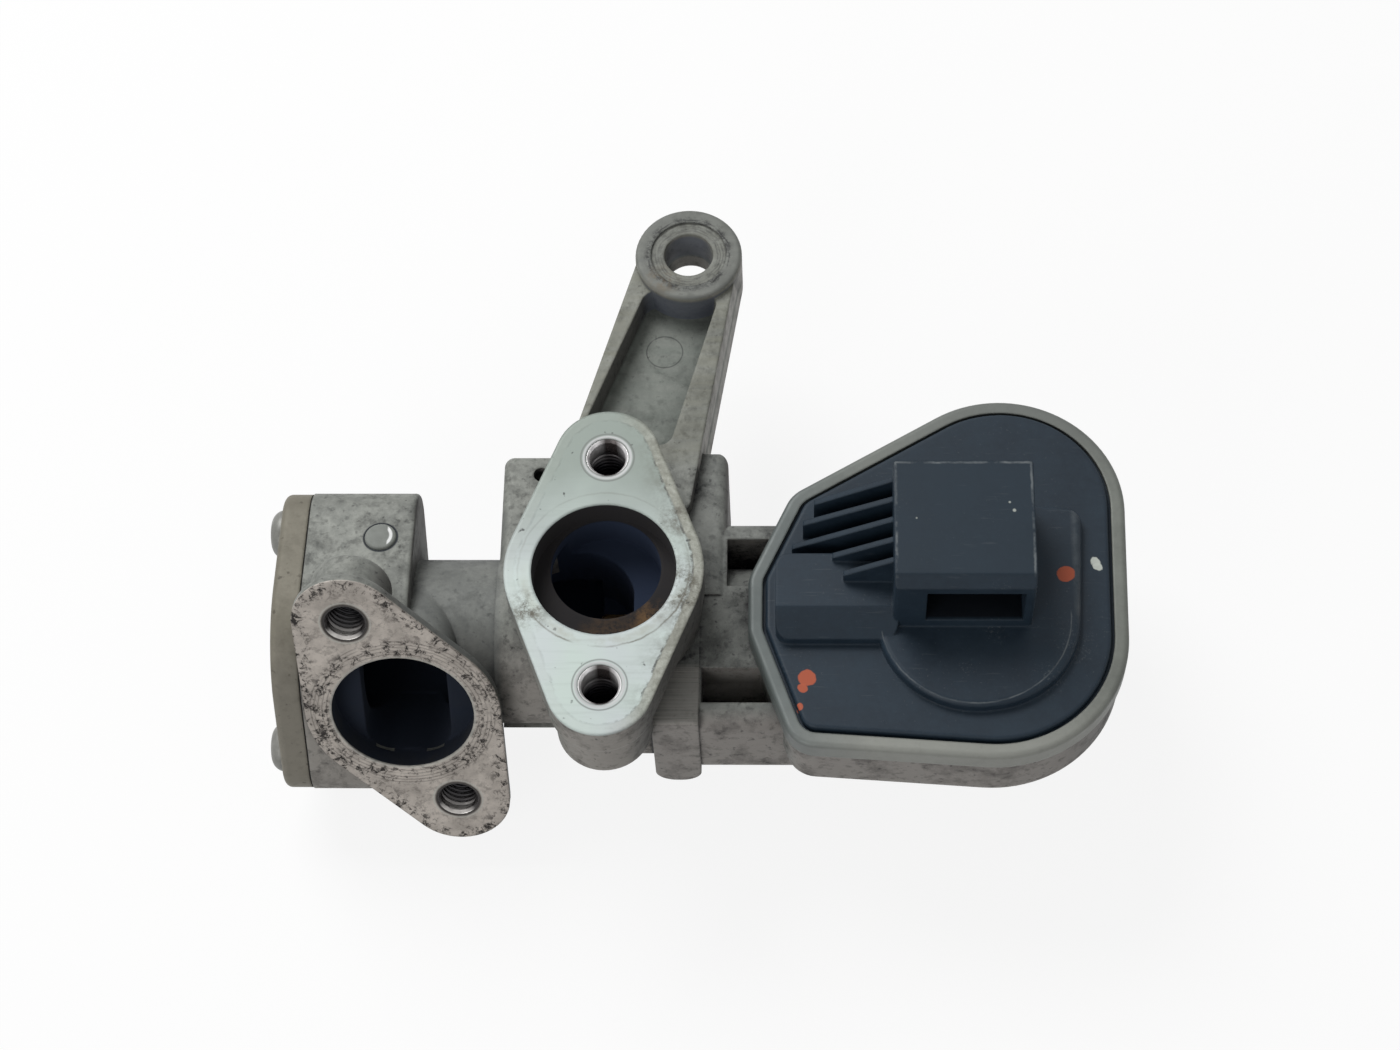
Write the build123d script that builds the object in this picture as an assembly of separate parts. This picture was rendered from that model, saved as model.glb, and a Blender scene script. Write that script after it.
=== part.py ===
from build123d import *
import math
import os

# Motor-driven exhaust gas recirculation valve, in millimetres.
# The origin is the centre of the outlet bore on its flange face. +Z leaves the outlet,
# +X runs along the valve stem towards the actuator, +Y points to the bracket arm.

# Fits
slip = 0.05              # radial clearance of a piece that turns or slides
snug = 0.02              # radial clearance of a piece that is pressed or screwed home
seat_gap = 0.3           # air between two fixed pieces that do not bear on each other
cast_round = 2.0         # rounding of cast edges

# Ports and their flanges
port_bore_r = 13.5
flange_r = 18.6
flange_ear_r = 10.0
flange_thickness = 9.0
bolt_spacing = 47.2
bolt_hole_r = 4.0
bolt_hole_depth = 17.0
port_wall = 4.3
ear_boss_r = 9.0
ear_boss_depth = 20.0
throat_r = 10.4
throat_depth = 6.0
throat_shift_y = 3.0
lower_duct_top = -9.0

# Stem line and gas passage
stem_z = -31.0
stem_r = 3.0
chamber_r = 13.0
tube_wall = 2.8
body_r = 17.0
body_left = -21.4
split_x = 7.8
seat_left = -21.4
seat_width = 3.6
seat_bore_r = 9.5
seat_ring_r = 11.6
poppet_r = 10.9
poppet_thickness = 3.0
lift = 6.0
bush_r = 5.2
bush_left = -2.0
bush_right = 4.4
seal_r = 7.0
seal_width = 2.6

# Inlet port, tilted forward about the stem line
end_left = -58.0
inlet_inset = 0.7
inlet_x = end_left + flange_r + inlet_inset
inlet_tilt = 65.0
inlet_reach = 21.5
inlet_turn = 22.5
inlet_flange_thickness = 3.0
inlet_bore_depth = 5.0
inlet_boss_r = 7.7
inlet_boss_depth = 12.0
inlet_duct_half_x = 8.2
inlet_duct_half_y = 13.2
inlet_duct_corner = 5.0
inlet_duct_wall = 2.0
inlet_flare_r = 16.4
inlet_flare_depth = 7.5

# End section with its bolted cover
end_right = -37.5
end_r = 20.0
end_ear_r = 8.0
end_ear_reach = 20.7
end_ear_angle = 28.0
end_edge_round = 0.8
end_cover_thickness = 5.4
end_screw_length = 17.0
end_screw_head_r = 4.7
end_screw_head_height = 2.7
gasket_thickness = 0.3
core_plug_r = 3.05
core_plug_x = -43.9
core_plug_share = 0.63
core_plug_depth = 3.0

# Block behind the outlet, and the joint to the actuator
block_top = -16.5
block_back = 33.5
block_bottom = -43.0
body_front = -20.0
block_hole_r = 1.5
block_hole_y = 29.0
block_hole_x = -14.0
mount_plate_right = 17.4
mount_plate_front = -24.0
mount_plate_round = 4.0
mount_block_right = 22.4
mount_block_front = 3.0
joint_gasket_thickness = 0.8
joint_flange = 13.0
joint_screw_reach = 7.0
joint_screws = [(27.5, -22.5, -17.0), (27.5, -37.5, -17.0), (-16.5, -36.5, split_x - joint_flange)]
screw_r = 2.5
screw_clearance = 0.3
screw_head_r = 4.2
screw_head_height = 2.6

# Bracket arm
arm_boss_x = 14.0
arm_boss_y = 77.0
arm_boss_r = 10.7
arm_hole_r = 4.95
arm_spot_r = 7.6
arm_top = -12.0
arm_rib_top = -13.8
arm_web_top = -19.6
arm_bottom = -24.0
arm_root_y = 22.0
arm_root_left = -12.6
arm_root_right = 16.2
arm_root_r = 4.0
arm_draft = 5.0
arm_rib = 3.2
arm_pocket_r = 2.5
arm_pocket_front = 37.0

# Actuator case: lobes of its outline as (x, y, radius), counter-clockwise
motor_lobe = (74.9, 19.4, 23.4)
shoulder_lobe = (40.2, 17.5, 7.0)
neck_back_lobe = (33.1, 3.0, 6.5)
neck_front_lobe = (33.1, -5.9, 6.5)
foot_lobe = (39.6, -23.9, 6.5)
gear_lobe = (72.3, -7.1, 25.5)
case_lobes = [motor_lobe, shoulder_lobe, neck_back_lobe, neck_front_lobe, foot_lobe, gear_lobe]
ring_top = -12.0
ring_height = 4.6
ring_band = 1.2
ring_lip = 2.7
ring_lip_thickness = 1.1
case_wall = 3.8
case_shoulder = 0.6
deck_z = -26.0
deck_thickness = 4.0
neck_front = -23.5
neck_back = 19.5
neck_drop = 0.4
window_depth = 13.0
cover_flange_thickness = 2.0
cover_skin = 2.0
seal_line = 2.5
seal_cord = 1.1

# Motor, gears and cam
motor_x = 76.0
motor_y = 22.5
motor_r = 11.6
motor_length = 22.5
motor_wall = 0.9
motor_top_bush_r = 3.0
motor_end_bush_r = 2.6
motor_shaft_r = 1.0
motor_plate_r = 12.2
motor_plate_thickness = 1.2
magnet_arc = 2.2
magnet_length = motor_length - 7.5
core_length = motor_length - 9.5
commutator_length = 2.5
motor_ear_r = 3.0
motor_screw_r = 1.5
motor_screw_head_r = 2.4
motor_screw_head_height = 1.4
motor_screw_length = 7.0
drive_x = 69.0
drive_y = 0.0
first_module = 0.7
second_module = 1.0
pinion_teeth = 8
wheel_teeth = 33
backlash = 0.12
drive_gear_height = 7.0
drive_gear_lift = 1.0
wheel_height = 3.0
gear_gap = 0.6
gear_pin_r = 2.0
idler_pin_r = 1.5
cam_start_r = 5.8
cam_angle = 120.0
roller_r = 2.5
roller_height = 3.2
roller_pin_r = 1.25
groove_depth = 3.9
crosshead_width = 9.0
crosshead_height = 8.0
crosshead_left = 6.5
crosshead_right = 2.3
magnet_r = 5.0
magnet_height = 3.0

# Return spring
spring_r = 7.4
spring_wire_r = 0.85
spring_turns = 5.5
spring_left = 24.6
spring_right = 46.0
spring_bore_r = 10.0
spring_bore_left = 21.0
retainer_thickness = 1.3
clip_gap = 0.1
clip_thickness = 0.8
clip_groove_depth = 0.5

# Connector hood on the cover
hood_left = 53.6
hood_right = 79.4
hood_front = -7.5
hood_back = 18.0
hood_top = 8.8
hood_round = 0.8
hood_chamfer = 2.1
rib_count = 5
rib_pitch = 4.2
rib_first_y = 16.9
rib_thickness = 1.1
mouth_left = 59.6
mouth_right = 77.6
mouth_bottom = -6.2
mouth_top = 4.7
mouth_depth = 17.0
terminal_count = 5
terminal_pitch = 3.0
plateau_top = -8.6
plateau_round = 1.2
dome_y = -5.3
dome_r = 18.4
plateau_lobes = [
    (drive_x + 1.4, dome_y, dome_r - 0.2),
    (86.6, 14.6, 3.0),
    (57.0, 17.5, 3.4),
    (drive_x, dome_y, dome_r),
]

# Values that follow from the ones above
arc_mid = 0.5
inlet_rad = math.radians(inlet_tilt)
first_centres = first_module * (pinion_teeth + wheel_teeth) / 2
second_centres = second_module * (pinion_teeth + wheel_teeth) / 2
housing_x = split_x + joint_gasket_thickness
rim_z = ring_top - ring_lip_thickness - cover_flange_thickness
drive_bottom = deck_z + drive_gear_lift
drive_top = drive_bottom + drive_gear_height
wheel_bottom = drive_top + gear_gap
wheel_top = wheel_bottom + wheel_height
cam_pitch = lift / math.radians(cam_angle)
roller_x = drive_x - cam_start_r
inlet_plane = Plane(
    origin=(inlet_x, -inlet_reach * math.sin(inlet_rad), stem_z + inlet_reach * math.cos(inlet_rad)),
    x_dir=(1, 0, 0),
    z_dir=(0, -math.sin(inlet_rad), math.cos(inlet_rad)),
)


def third_corner(x1, y1, x2, y2, from_first, from_second):
    """The point at the given distances from two others, on their left."""
    span = math.hypot(x2 - x1, y2 - y1)
    along = (from_first**2 - from_second**2 + span**2) / (2 * span)
    aside = math.sqrt(from_first**2 - along**2)
    unit_x = (x2 - x1) / span
    unit_y = (y2 - y1) / span
    return x1 + along * unit_x - aside * unit_y, y1 + along * unit_y + aside * unit_x


idler_x, idler_y = third_corner(drive_x, drive_y, motor_x, motor_y, second_centres, first_centres)


def block(left, right, front, back, bottom, top):
    """A box between six planes."""
    size = Box(right - left, back - front, top - bottom, align=(Align.MIN, Align.MIN, Align.MIN))
    return Pos(left, front, bottom) * size


def post(x, y, radius, bottom, top):
    """An upright cylinder."""
    return Pos(x, y, bottom) * Cylinder(radius, top - bottom, align=(Align.CENTER, Align.CENTER, Align.MIN))


def rod(radius, left, right, y=0.0, z=stem_z):
    """A cylinder along X, on the stem line unless told otherwise."""
    turned = Rot(0, 90, 0) * Cylinder(radius, right - left, align=(Align.CENTER, Align.CENTER, Align.MIN))
    return Pos(left, y, z) * turned


def belt(lobes, grow=0.0):
    """A face bounded by a belt round circles (x, y, radius), listed counter-clockwise."""
    normals = []
    for (x1, y1, r1), (x2, y2, r2) in zip(lobes, lobes[1:] + lobes[:1]):
        span = math.hypot(x2 - x1, y2 - y1)
        lean = (r1 - r2) / span
        normals.append(math.atan2(y2 - y1, x2 - x1) - math.acos(lean))
    edges = []
    last_end = None
    first_start = None
    for index, (x, y, radius) in enumerate(lobes):
        start = normals[index - 1]
        turn = (normals[index] - start) % (2 * math.pi)
        points = []
        for share in (0.0, arc_mid, 1.0):
            angle = start + share * turn
            reach = radius + grow
            points.append((x + reach * math.cos(angle), y + reach * math.sin(angle)))
        if last_end is None:
            first_start = points[0]
        else:
            edges.append(Line(last_end, points[0]))
        edges.append(ThreePointArc(*points))
        last_end = points[2]
    edges.append(Line(last_end, first_start))
    return make_face(edges)


def prism(face, bottom, top):
    """A flat face in XY raised between two heights."""
    return extrude(Pos(0, 0, bottom) * face, amount=top - bottom)


def flange_face(grow=0.0):
    """The two-eared outline that both port flanges share."""
    half = bolt_spacing / 2
    centre = (0, 0, flange_r)
    return belt([centre, (0, half, flange_ear_r), centre, (0, -half, flange_ear_r)], grow)


def end_face(grow=0.0):
    """The outline of the end section, in a plane across the stem line."""
    lean = math.radians(end_ear_angle)
    ear_y = end_ear_reach * math.cos(lean)
    ear_z = end_ear_reach * math.sin(lean)
    centre = (0, 0, end_r)
    return belt([centre, (ear_y, ear_z, end_ear_r), centre, (-ear_y, -ear_z, end_ear_r)], grow)


def across(face, left, right):
    """A face drawn across the stem line (Y, Z about the line), run from left to right."""
    plane = Plane(origin=(left, 0, stem_z), x_dir=(0, 1, 0), z_dir=(1, 0, 0))
    return extrude(plane * face, amount=right - left)


def end_ears():
    """Centres of the two end cover screws."""
    lean = math.radians(end_ear_angle)
    for side in (1, -1):
        yield side * end_ear_reach * math.cos(lean), stem_z + side * end_ear_reach * math.sin(lean)


def port_flange(thickness, boss_r, boss_depth):
    """One port flange on XY, with its ear bosses running down."""
    plate = prism(flange_face(), -thickness, 0)
    plate = fillet(plate.faces().sort_by(Axis.Z)[0].edges(), min(cast_round, thickness / 2))
    for side in (1, -1):
        boss = post(0, side * bolt_spacing / 2, boss_r, -boss_depth, -1)
        plate += fillet(boss.faces().sort_by(Axis.Z)[0].edges(), cast_round)
    return plate


def port_cuts(bore_depth, hole_depth):
    """The bore and the two tapped holes of a port flange."""
    cuts = post(0, 0, port_bore_r, -bore_depth, 1)
    for side in (1, -1):
        cuts += post(0, side * bolt_spacing / 2, bolt_hole_r, -hole_depth, 1)
    return cuts


def inlet_port():
    """The tilted inlet flange with its oval duct, as far as the stem line."""
    outline = RectangleRounded(
        2 * (inlet_duct_half_x + inlet_duct_wall),
        2 * (inlet_duct_half_y + inlet_duct_wall),
        inlet_duct_corner + inlet_duct_wall,
    )
    flange = port_flange(inlet_flange_thickness, inlet_boss_r, inlet_boss_depth)
    flange = Rot(0, 0, inlet_turn) * flange
    flare = post(0, 0, inlet_flare_r, -inlet_flare_depth, -1)
    flare = fillet(flare.faces().sort_by(Axis.Z)[0].edges(), 2 * cast_round)
    return inlet_plane * (flange + flare + prism(outline, -inlet_reach, -1))


def inlet_cuts():
    """The inlet bore, its tapped holes and the oval passage to the chamber."""
    outline = RectangleRounded(2 * inlet_duct_half_x, 2 * inlet_duct_half_y, inlet_duct_corner)
    cuts = Rot(0, 0, inlet_turn) * port_cuts(inlet_bore_depth, inlet_boss_depth + 1)
    return inlet_plane * (cuts + prism(outline, -inlet_reach, -inlet_bore_depth + 1))


def core_plug_place():
    """Where the core plug sits: on the flat of the end section, facing out of it."""
    lean = math.asin((end_r - end_ear_r) / end_ear_reach)
    facing = math.radians(end_ear_angle) + math.pi / 2 - lean
    along_flat = core_plug_share * end_ear_reach * math.cos(lean)
    y = end_r * math.cos(facing) + along_flat * math.sin(facing)
    z = end_r * math.sin(facing) - along_flat * math.cos(facing)
    outward = (0, math.cos(facing), math.sin(facing))
    return Plane(origin=(core_plug_x, y, stem_z + z), x_dir=(1, 0, 0), z_dir=outward)


def bracket_arm():
    """The ribbed arm that carries the bracket boss."""
    boss = (arm_boss_x, arm_boss_y, arm_boss_r)
    left = (arm_root_left + arm_root_r, arm_root_y, arm_root_r)
    right = (arm_root_right - arm_root_r, arm_root_y, arm_root_r)
    outline = Pos(0, 0, arm_bottom) * belt([boss, left, right])
    arm = extrude(outline, amount=arm_rib_top - arm_bottom, taper=arm_draft)
    inset = arm_rib + arm_pocket_r
    pocket_back = arm_boss_y - arm_boss_r
    pocket = belt([
        (arm_boss_x + arm_boss_r - inset - 2.4, pocket_back, arm_pocket_r),
        (arm_boss_x - arm_boss_r + inset - 1.4, pocket_back, arm_pocket_r),
        (arm_root_left + inset + 3.6, arm_pocket_front, arm_pocket_r),
        (arm_root_right - inset - 1.8, arm_pocket_front, arm_pocket_r),
    ])
    depth = arm_rib_top - arm_web_top
    arm -= extrude(Pos(0, 0, arm_web_top) * pocket, amount=depth + 1, taper=-arm_draft)
    pillar = post(arm_boss_x, arm_boss_y, arm_boss_r, arm_bottom, arm_top)
    arm += fillet(pillar.faces().sort_by(Axis.Z)[-1].edges(), 0.8)
    arm -= post(arm_boss_x, arm_boss_y, arm_hole_r, arm_bottom - 1, arm_top + 1)
    arm -= post(arm_boss_x, arm_boss_y, arm_spot_r, arm_top - 0.4, arm_top + 1)
    return arm


def valve_body():
    """The cast body: two ports, the valve chamber, the rear block and the bracket arm."""
    body = port_flange(flange_thickness, ear_boss_r, ear_boss_depth) + bracket_arm()
    body += post(0, 0, port_bore_r + port_wall, stem_z, -1)
    far = arm_boss_x + flange_r
    body -= block(split_x, far, mount_plate_front, block_back + seat_gap, block_bottom, block_top + seat_gap)
    body += rod(body_r, body_left, split_x)
    rear = block(body_left, split_x, 0, block_back, block_bottom, block_top)
    rear = fillet(rear.edges().filter_by(Axis.Y), cast_round)
    rear = fillet(rear.faces().sort_by(Axis.Y)[-1].edges(), cast_round)
    body += rear
    joint_back = block_back - cast_round
    joint_low = block_bottom + cast_round
    joint = block(split_x - joint_flange, split_x, body_front, joint_back, joint_low, block_top)
    body += fillet(joint.edges().filter_by(Axis.X), cast_round)
    body += rod(chamber_r + tube_wall, end_right - 1, body_left + 1)
    section = across(end_face(), end_left, end_right)
    body += fillet(section.faces().sort_by(Axis.X)[-1].edges(), end_edge_round)
    body += inlet_port()

    # gas passages
    body -= port_cuts(throat_depth, bolt_hole_depth)
    body -= post(0, throat_shift_y, throat_r, block_top + tube_wall, 0)
    lower_duct = post(-throat_r / 2, 0, throat_r, stem_z, lower_duct_top)
    body -= lower_duct - block(split_x - tube_wall, flange_r, -flange_r, flange_r, stem_z - 1, -1)
    body -= inlet_cuts()
    body -= rod(chamber_r, end_left - 1, seat_left)
    body -= rod(seat_ring_r + snug, seat_left - 1, seat_left + seat_width)
    body -= rod(seat_bore_r, seat_left, bush_left - 6)
    body -= rod(chamber_r - 1, seat_left + seat_width + 2, bush_left)
    body -= rod(bush_r + snug, bush_left - 1, split_x + 1)
    body -= rod(seal_r + snug, bush_right, split_x + 1)

    # end cover screws, core plug, joint screws and a gauge hole
    for y, z in end_ears():
        body -= rod(screw_r + snug, end_left - 1, end_left + end_screw_length - 2, y, z)
    body -= core_plug_place() * Cylinder(core_plug_r + snug, 2 * core_plug_depth)
    for y, z, under_head in joint_screws:
        body -= rod(screw_r + screw_clearance, under_head - 1, split_x + 1, y, z)
        body -= rod(screw_head_r + screw_clearance, body_left - 1, under_head, y, z)
    body -= post(block_hole_x, block_hole_y, block_hole_r, block_top - 6, block_top + 1)
    return body


def end_cover():
    """The plate that closes the end section."""
    right = end_left - gasket_thickness
    plate = across(end_face(-0.2), right - end_cover_thickness, right)
    plate = fillet(plate.faces().sort_by(Axis.X)[0].edges(), 1.4)
    for y, z in end_ears():
        plate -= rod(screw_r + screw_clearance, right - end_cover_thickness - 1, right + 1, y, z)
    return plate


def end_cover_gasket():
    """The sheet between the end section and its cover."""
    sheet = across(end_face(-0.5), end_left - gasket_thickness, end_left)
    sheet -= rod(chamber_r + 0.5, end_left - 2, end_left + 1)
    for y, z in end_ears():
        sheet -= rod(screw_r + screw_clearance, end_left - 2, end_left + 1, y, z)
    return sheet


def button_screw(head_r, head_height, shank_r, shank_length):
    """A domed screw along +X, with its head's underside at X = 0 and a hexagon socket."""
    rim = 0.3 * head_height
    crown_r = 0.5 * head_r
    profile = [
        ThreePointArc((-head_height, crown_r), (-0.78 * head_height, 0.82 * head_r), (-rim, head_r)),
        Polyline((-rim, head_r), (0, head_r), (0, shank_r), (shank_length, shank_r), (shank_length, 0)),
        Polyline((shank_length, 0), (-head_height, 0), (-head_height, crown_r)),
    ]
    screw = revolve(make_face(profile), Axis.X)
    socket = Plane(origin=(-0.4 * head_height, 0, 0), z_dir=(-1, 0, 0)) * RegularPolygon(0.85 * crown_r, 6)
    return screw - extrude(socket, amount=head_height)


def end_cover_screws():
    """The two domed screws of the end cover."""
    under_head = end_left - gasket_thickness - end_cover_thickness
    screws = []
    for y, z in end_ears():
        screw = button_screw(end_screw_head_r, end_screw_head_height, screw_r, end_screw_length)
        screws.append(Pos(under_head, y, z) * screw)
    return Compound(screws)


def core_plug():
    """The pressed cup plug that closes a casting core hole."""
    cup = Cylinder(core_plug_r, core_plug_depth, align=(Align.CENTER, Align.CENTER, Align.MAX))
    cup = fillet(cup.faces().sort_by(Axis.Z)[-1].edges(), 0.6)
    return core_plug_place() * (Pos(0, 0, 0.5) * cup)


def valve_seat():
    """The hardened seat ring between the inlet and outlet chambers."""
    ring = rod(seat_ring_r, seat_left, seat_left + seat_width) - rod(seat_bore_r, seat_left - 1, 0)
    mouth = ring.faces().sort_by(Axis.X)[0].edges().sort_by(SortBy.LENGTH)[0]
    return chamfer(mouth, 0.8)


def poppet():
    """The valve disc, held on the stem by a riveted collar."""
    right = seat_left - 0.1
    half = Polyline(
        (right, stem_r + slip),
        (right, poppet_r - 1.0),
        (right - 1.0, poppet_r),
        (right - poppet_thickness, poppet_r),
        (right - poppet_thickness, 6.5),
        (right - poppet_thickness - 1.4, 5.5),
        (right - poppet_thickness - 1.4, stem_r + slip),
        close=True,
    )
    disc = revolve(make_face(half), Axis.X)
    return Pos(0, 0, stem_z) * disc


def retainer_right():
    """The right-hand face of the spring retainer."""
    return spring_right + seat_gap + retainer_thickness


def valve_stem():
    """The stem from the poppet to the crosshead, with a retainer groove and a riveted end."""
    left = seat_left - poppet_thickness - 2.2
    stem = rod(stem_r, left, roller_x - crosshead_left + 3)
    stem += rod(stem_r + 1.2, left - 0.6, left + 0.7)
    groove_left = retainer_right() + clip_gap
    groove = rod(stem_r + 1, groove_left, groove_left + clip_thickness + clip_gap)
    return stem - (groove - rod(stem_r - clip_groove_depth, spring_right, spring_right + 4))


def stem_bush():
    """The sintered guide bush in the body's right wall."""
    bush = rod(bush_r, bush_left, bush_right) - rod(stem_r + slip, bush_left - 1, bush_right + 1)
    rims = bush.edges().filter_by(GeomType.CIRCLE).filter_by(lambda edge: edge.radius > bush_r - 0.1)
    return chamfer(rims, 0.4)


def stem_seal():
    """The lip seal on the actuator side of the bush."""
    left = bush_right + 0.1
    seal = rod(seal_r, left, left + seal_width) - rod(stem_r + slip, left - 1, left + seal_width + 1)
    return seal - (rod(5.6, left + 1.0, left + 9) - rod(4.0, left, left + 9))


def joint_face(front, back, bottom, top):
    """A rounded rectangle across the stem line."""
    height = top - bottom
    middle = (top + bottom) / 2 - stem_z
    return Pos((front + back) / 2, middle) * RectangleRounded(back - front, height, cast_round)


def housing_gasket():
    """The insulating sheet between the body and the actuator housing."""
    outline = joint_face(body_front, block_back - cast_round, block_bottom + cast_round, block_top)
    sheet = across(outline, split_x, housing_x)
    sheet -= rod(seal_r + 1, split_x - 1, housing_x + 1)
    for place in joint_screws:
        sheet -= rod(screw_r + screw_clearance, split_x - 1, housing_x + 1, *place[:2])
    return sheet


def mounting_plate():
    """The housing's mounting plate and rear block, round along the bottom."""
    plate = block(housing_x, mount_plate_right, mount_plate_front, block_back, block_bottom, block_top)
    plate = fillet(plate.edges().filter_by(Axis.Y).sort_by(Axis.Z)[:2], mount_plate_round)
    plate = fillet(plate.faces().sort_by(Axis.Y)[0].edges().sort_by(Axis.Z)[-1], end_edge_round)
    rear = block(housing_x, mount_block_right, mount_block_front, block_back, block_bottom, block_top)
    rear = fillet(rear.edges().filter_by(Axis.Y) + rear.edges().filter_by(Axis.Z).sort_by(Axis.Y)[2:], cast_round)
    return plate + rear


def case_shell():
    """The gear case, the neck and the motor pot before they are hollowed."""
    upper = rim_z
    shoulder_z = ring_top - ring_height
    bottom = deck_z - deck_thickness
    case = prism(belt(case_lobes, -case_shoulder), bottom, shoulder_z)
    case = fillet(case.faces().sort_by(Axis.Z)[0].edges(), 3.0)
    case += prism(belt(case_lobes, -ring_band - snug), shoulder_z - 1, upper)
    pot_bottom = deck_z - motor_plate_thickness - motor_length - 3.0
    pot = post(motor_x, motor_y, motor_r + 3.6, pot_bottom, bottom + 3)
    case += fillet(pot.faces().sort_by(Axis.Z)[0].edges(), cast_round)
    return case


def neck():
    """The neck round the return spring, with windows that keep the heat away from the gears."""
    trunk = rod(spring_bore_r + 4, mount_plate_right - 1, roller_x + crosshead_right + 5)
    trunk &= block(0, 100, -40, 40, stem_z - 20, deck_z)
    trunk += rod(spring_bore_r + 4, mount_plate_right - 1, foot_lobe[0])
    top = block_top - neck_drop
    cage = block(mount_plate_right - 1, foot_lobe[0] + 1, neck_front, neck_back, block_bottom + 3, top)
    cage = fillet(cage.edges().filter_by(Axis.X), 4.0)
    cage -= block(mount_block_right, 60, 5.0, 15.0, top - window_depth, 0)
    cage -= block(mount_plate_right + neck_drop, 60, -19.4, -12.2, top - window_depth, 0)
    return trunk + cage


def actuator_housing():
    """The cast housing: mounting plate, neck, gear case and motor pot."""
    housing = mounting_plate() + neck() + case_shell()
    floor_z = deck_z
    housing -= prism(belt(case_lobes, -case_wall), floor_z, rim_z + 1)
    groove = belt(case_lobes, -seal_line + seal_cord / 2) - belt(case_lobes, -seal_line - seal_cord / 2)
    housing -= prism(groove, rim_z - seal_cord, rim_z + 1)

    # return spring bore, crosshead slot and stem passage
    housing -= rod(spring_bore_r, spring_bore_left, roller_x - crosshead_left - lift - 1)
    housing -= rod(stem_r + 2, 0, roller_x)
    slot_left = roller_x - crosshead_left - lift - 2
    slot_right = roller_x + crosshead_right + 0.6
    half = crosshead_width / 2 + slip
    low = stem_z - crosshead_height / 2 - slip
    housing -= block(slot_left, slot_right, -half, half, low, floor_z + 1)
    housing -= rod(seal_r + 1, housing_x - 1, housing_x + 2)

    # motor seat, gear pins and tapped holes
    plate_floor = floor_z - motor_plate_thickness
    housing -= post(motor_x, motor_y, motor_plate_r + seat_gap, plate_floor, floor_z + 1)
    pot_floor = plate_floor - motor_length - seat_gap
    housing -= post(motor_x, motor_y, motor_r + seat_gap, pot_floor, floor_z)
    for x, y in motor_ears():
        housing -= post(x, y, motor_ear_r + seat_gap, plate_floor, floor_z + 1)
        housing -= post(x, y, motor_screw_r + snug, plate_floor - motor_screw_length, floor_z)
    housing -= post(drive_x, drive_y, gear_pin_r + snug, deck_z - 3, floor_z + 1)
    housing -= post(idler_x, idler_y, idler_pin_r + snug, deck_z - 3, floor_z + 1)
    for place in joint_screws:
        housing -= rod(screw_r + snug, housing_x - 1, housing_x + joint_screw_reach + 1, *place[:2])
    return housing


def motor_ears():
    """Centres of the two motor plate screws."""
    reach = motor_plate_r + 1.5
    for angle in (150.0, -30.0):
        turn = math.radians(angle)
        yield motor_x + reach * math.cos(turn), motor_y + reach * math.sin(turn)


def housing_screws():
    """The three screws that clamp the actuator to the valve body."""
    screws = []
    for y, z, under_head in joint_screws:
        length = housing_x + joint_screw_reach - under_head
        screw = button_screw(screw_head_r, screw_head_height, screw_r, length)
        screws.append(Pos(under_head, y, z) * screw)
    return Compound(screws)


def cover_clamp_ring():
    """The formed metal ring that is rolled over the cover and the housing rim."""
    shoulder_z = ring_top - ring_height
    ring = prism(belt(case_lobes), shoulder_z, ring_top)
    ring = fillet(ring.faces().sort_by(Axis.Z)[-1].edges(), 1.0)
    ring -= prism(belt(case_lobes, -ring_band), shoulder_z - 1, ring_top - ring_lip_thickness)
    ring -= prism(belt(case_lobes, -ring_lip), ring_top - 3, ring_top + 1)
    return ring


def cover_seal():
    """The rubber cord in the groove of the housing rim."""
    half = seal_cord / 2 - snug
    cord = belt(case_lobes, half - seal_line) - belt(case_lobes, -half - seal_line)
    return prism(cord, rim_z - seal_cord + snug, rim_z - snug)


def plateau_face(grow=0.0):
    """The raised area of the cover over the gears."""
    return belt(plateau_lobes, grow)


def actuator_cover():
    """The moulded cover with its raised gear area, ribs and connector hood."""
    plate_top = ring_top + 0.8
    cover = prism(belt(case_lobes, -ring_band - 0.2), rim_z, ring_top - ring_lip_thickness)
    raised = prism(belt(case_lobes, -ring_lip - 0.7), rim_z, plate_top)
    cover += fillet(raised.faces().sort_by(Axis.Z)[-1].edges(), 0.6)
    plateau = prism(plateau_face(), plate_top - 1, plateau_top)
    cover += fillet(plateau.faces().sort_by(Axis.Z)[-1].edges(), plateau_round)
    pad = block(31.8, hood_left + 1, -10.0, 5.4, plate_top - 1, -4.2)
    pad = chamfer(pad.faces().sort_by(Axis.Z)[-1].edges().sort_by(Axis.Y)[0], 5.0, 4.4)
    pad = fillet(pad.edges().filter_by(Axis.Z), 2.5)
    cover += pad
    hood = block(hood_left, hood_right, hood_front, hood_back, plate_top - 1, hood_top)
    hood = chamfer(hood.faces().sort_by(Axis.Z)[-1].edges().sort_by(Axis.Y)[0], hood_chamfer)
    hood = fillet(hood.edges().filter_by(Axis.Z), hood_round)
    cover += hood
    for index in range(rib_count):
        cover += gusset(index, plate_top)
    cover -= block(mouth_left, mouth_right, hood_front - 1, hood_front + mouth_depth, mouth_bottom, mouth_top)
    cavity = prism(belt(case_lobes, -case_wall - 0.2), rim_z - 1, plate_top - cover_skin)
    hollow = prism(plateau_face(-cover_skin), rim_z - 1, plateau_top - cover_skin)
    cover -= cavity + hollow
    return cover


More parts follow.
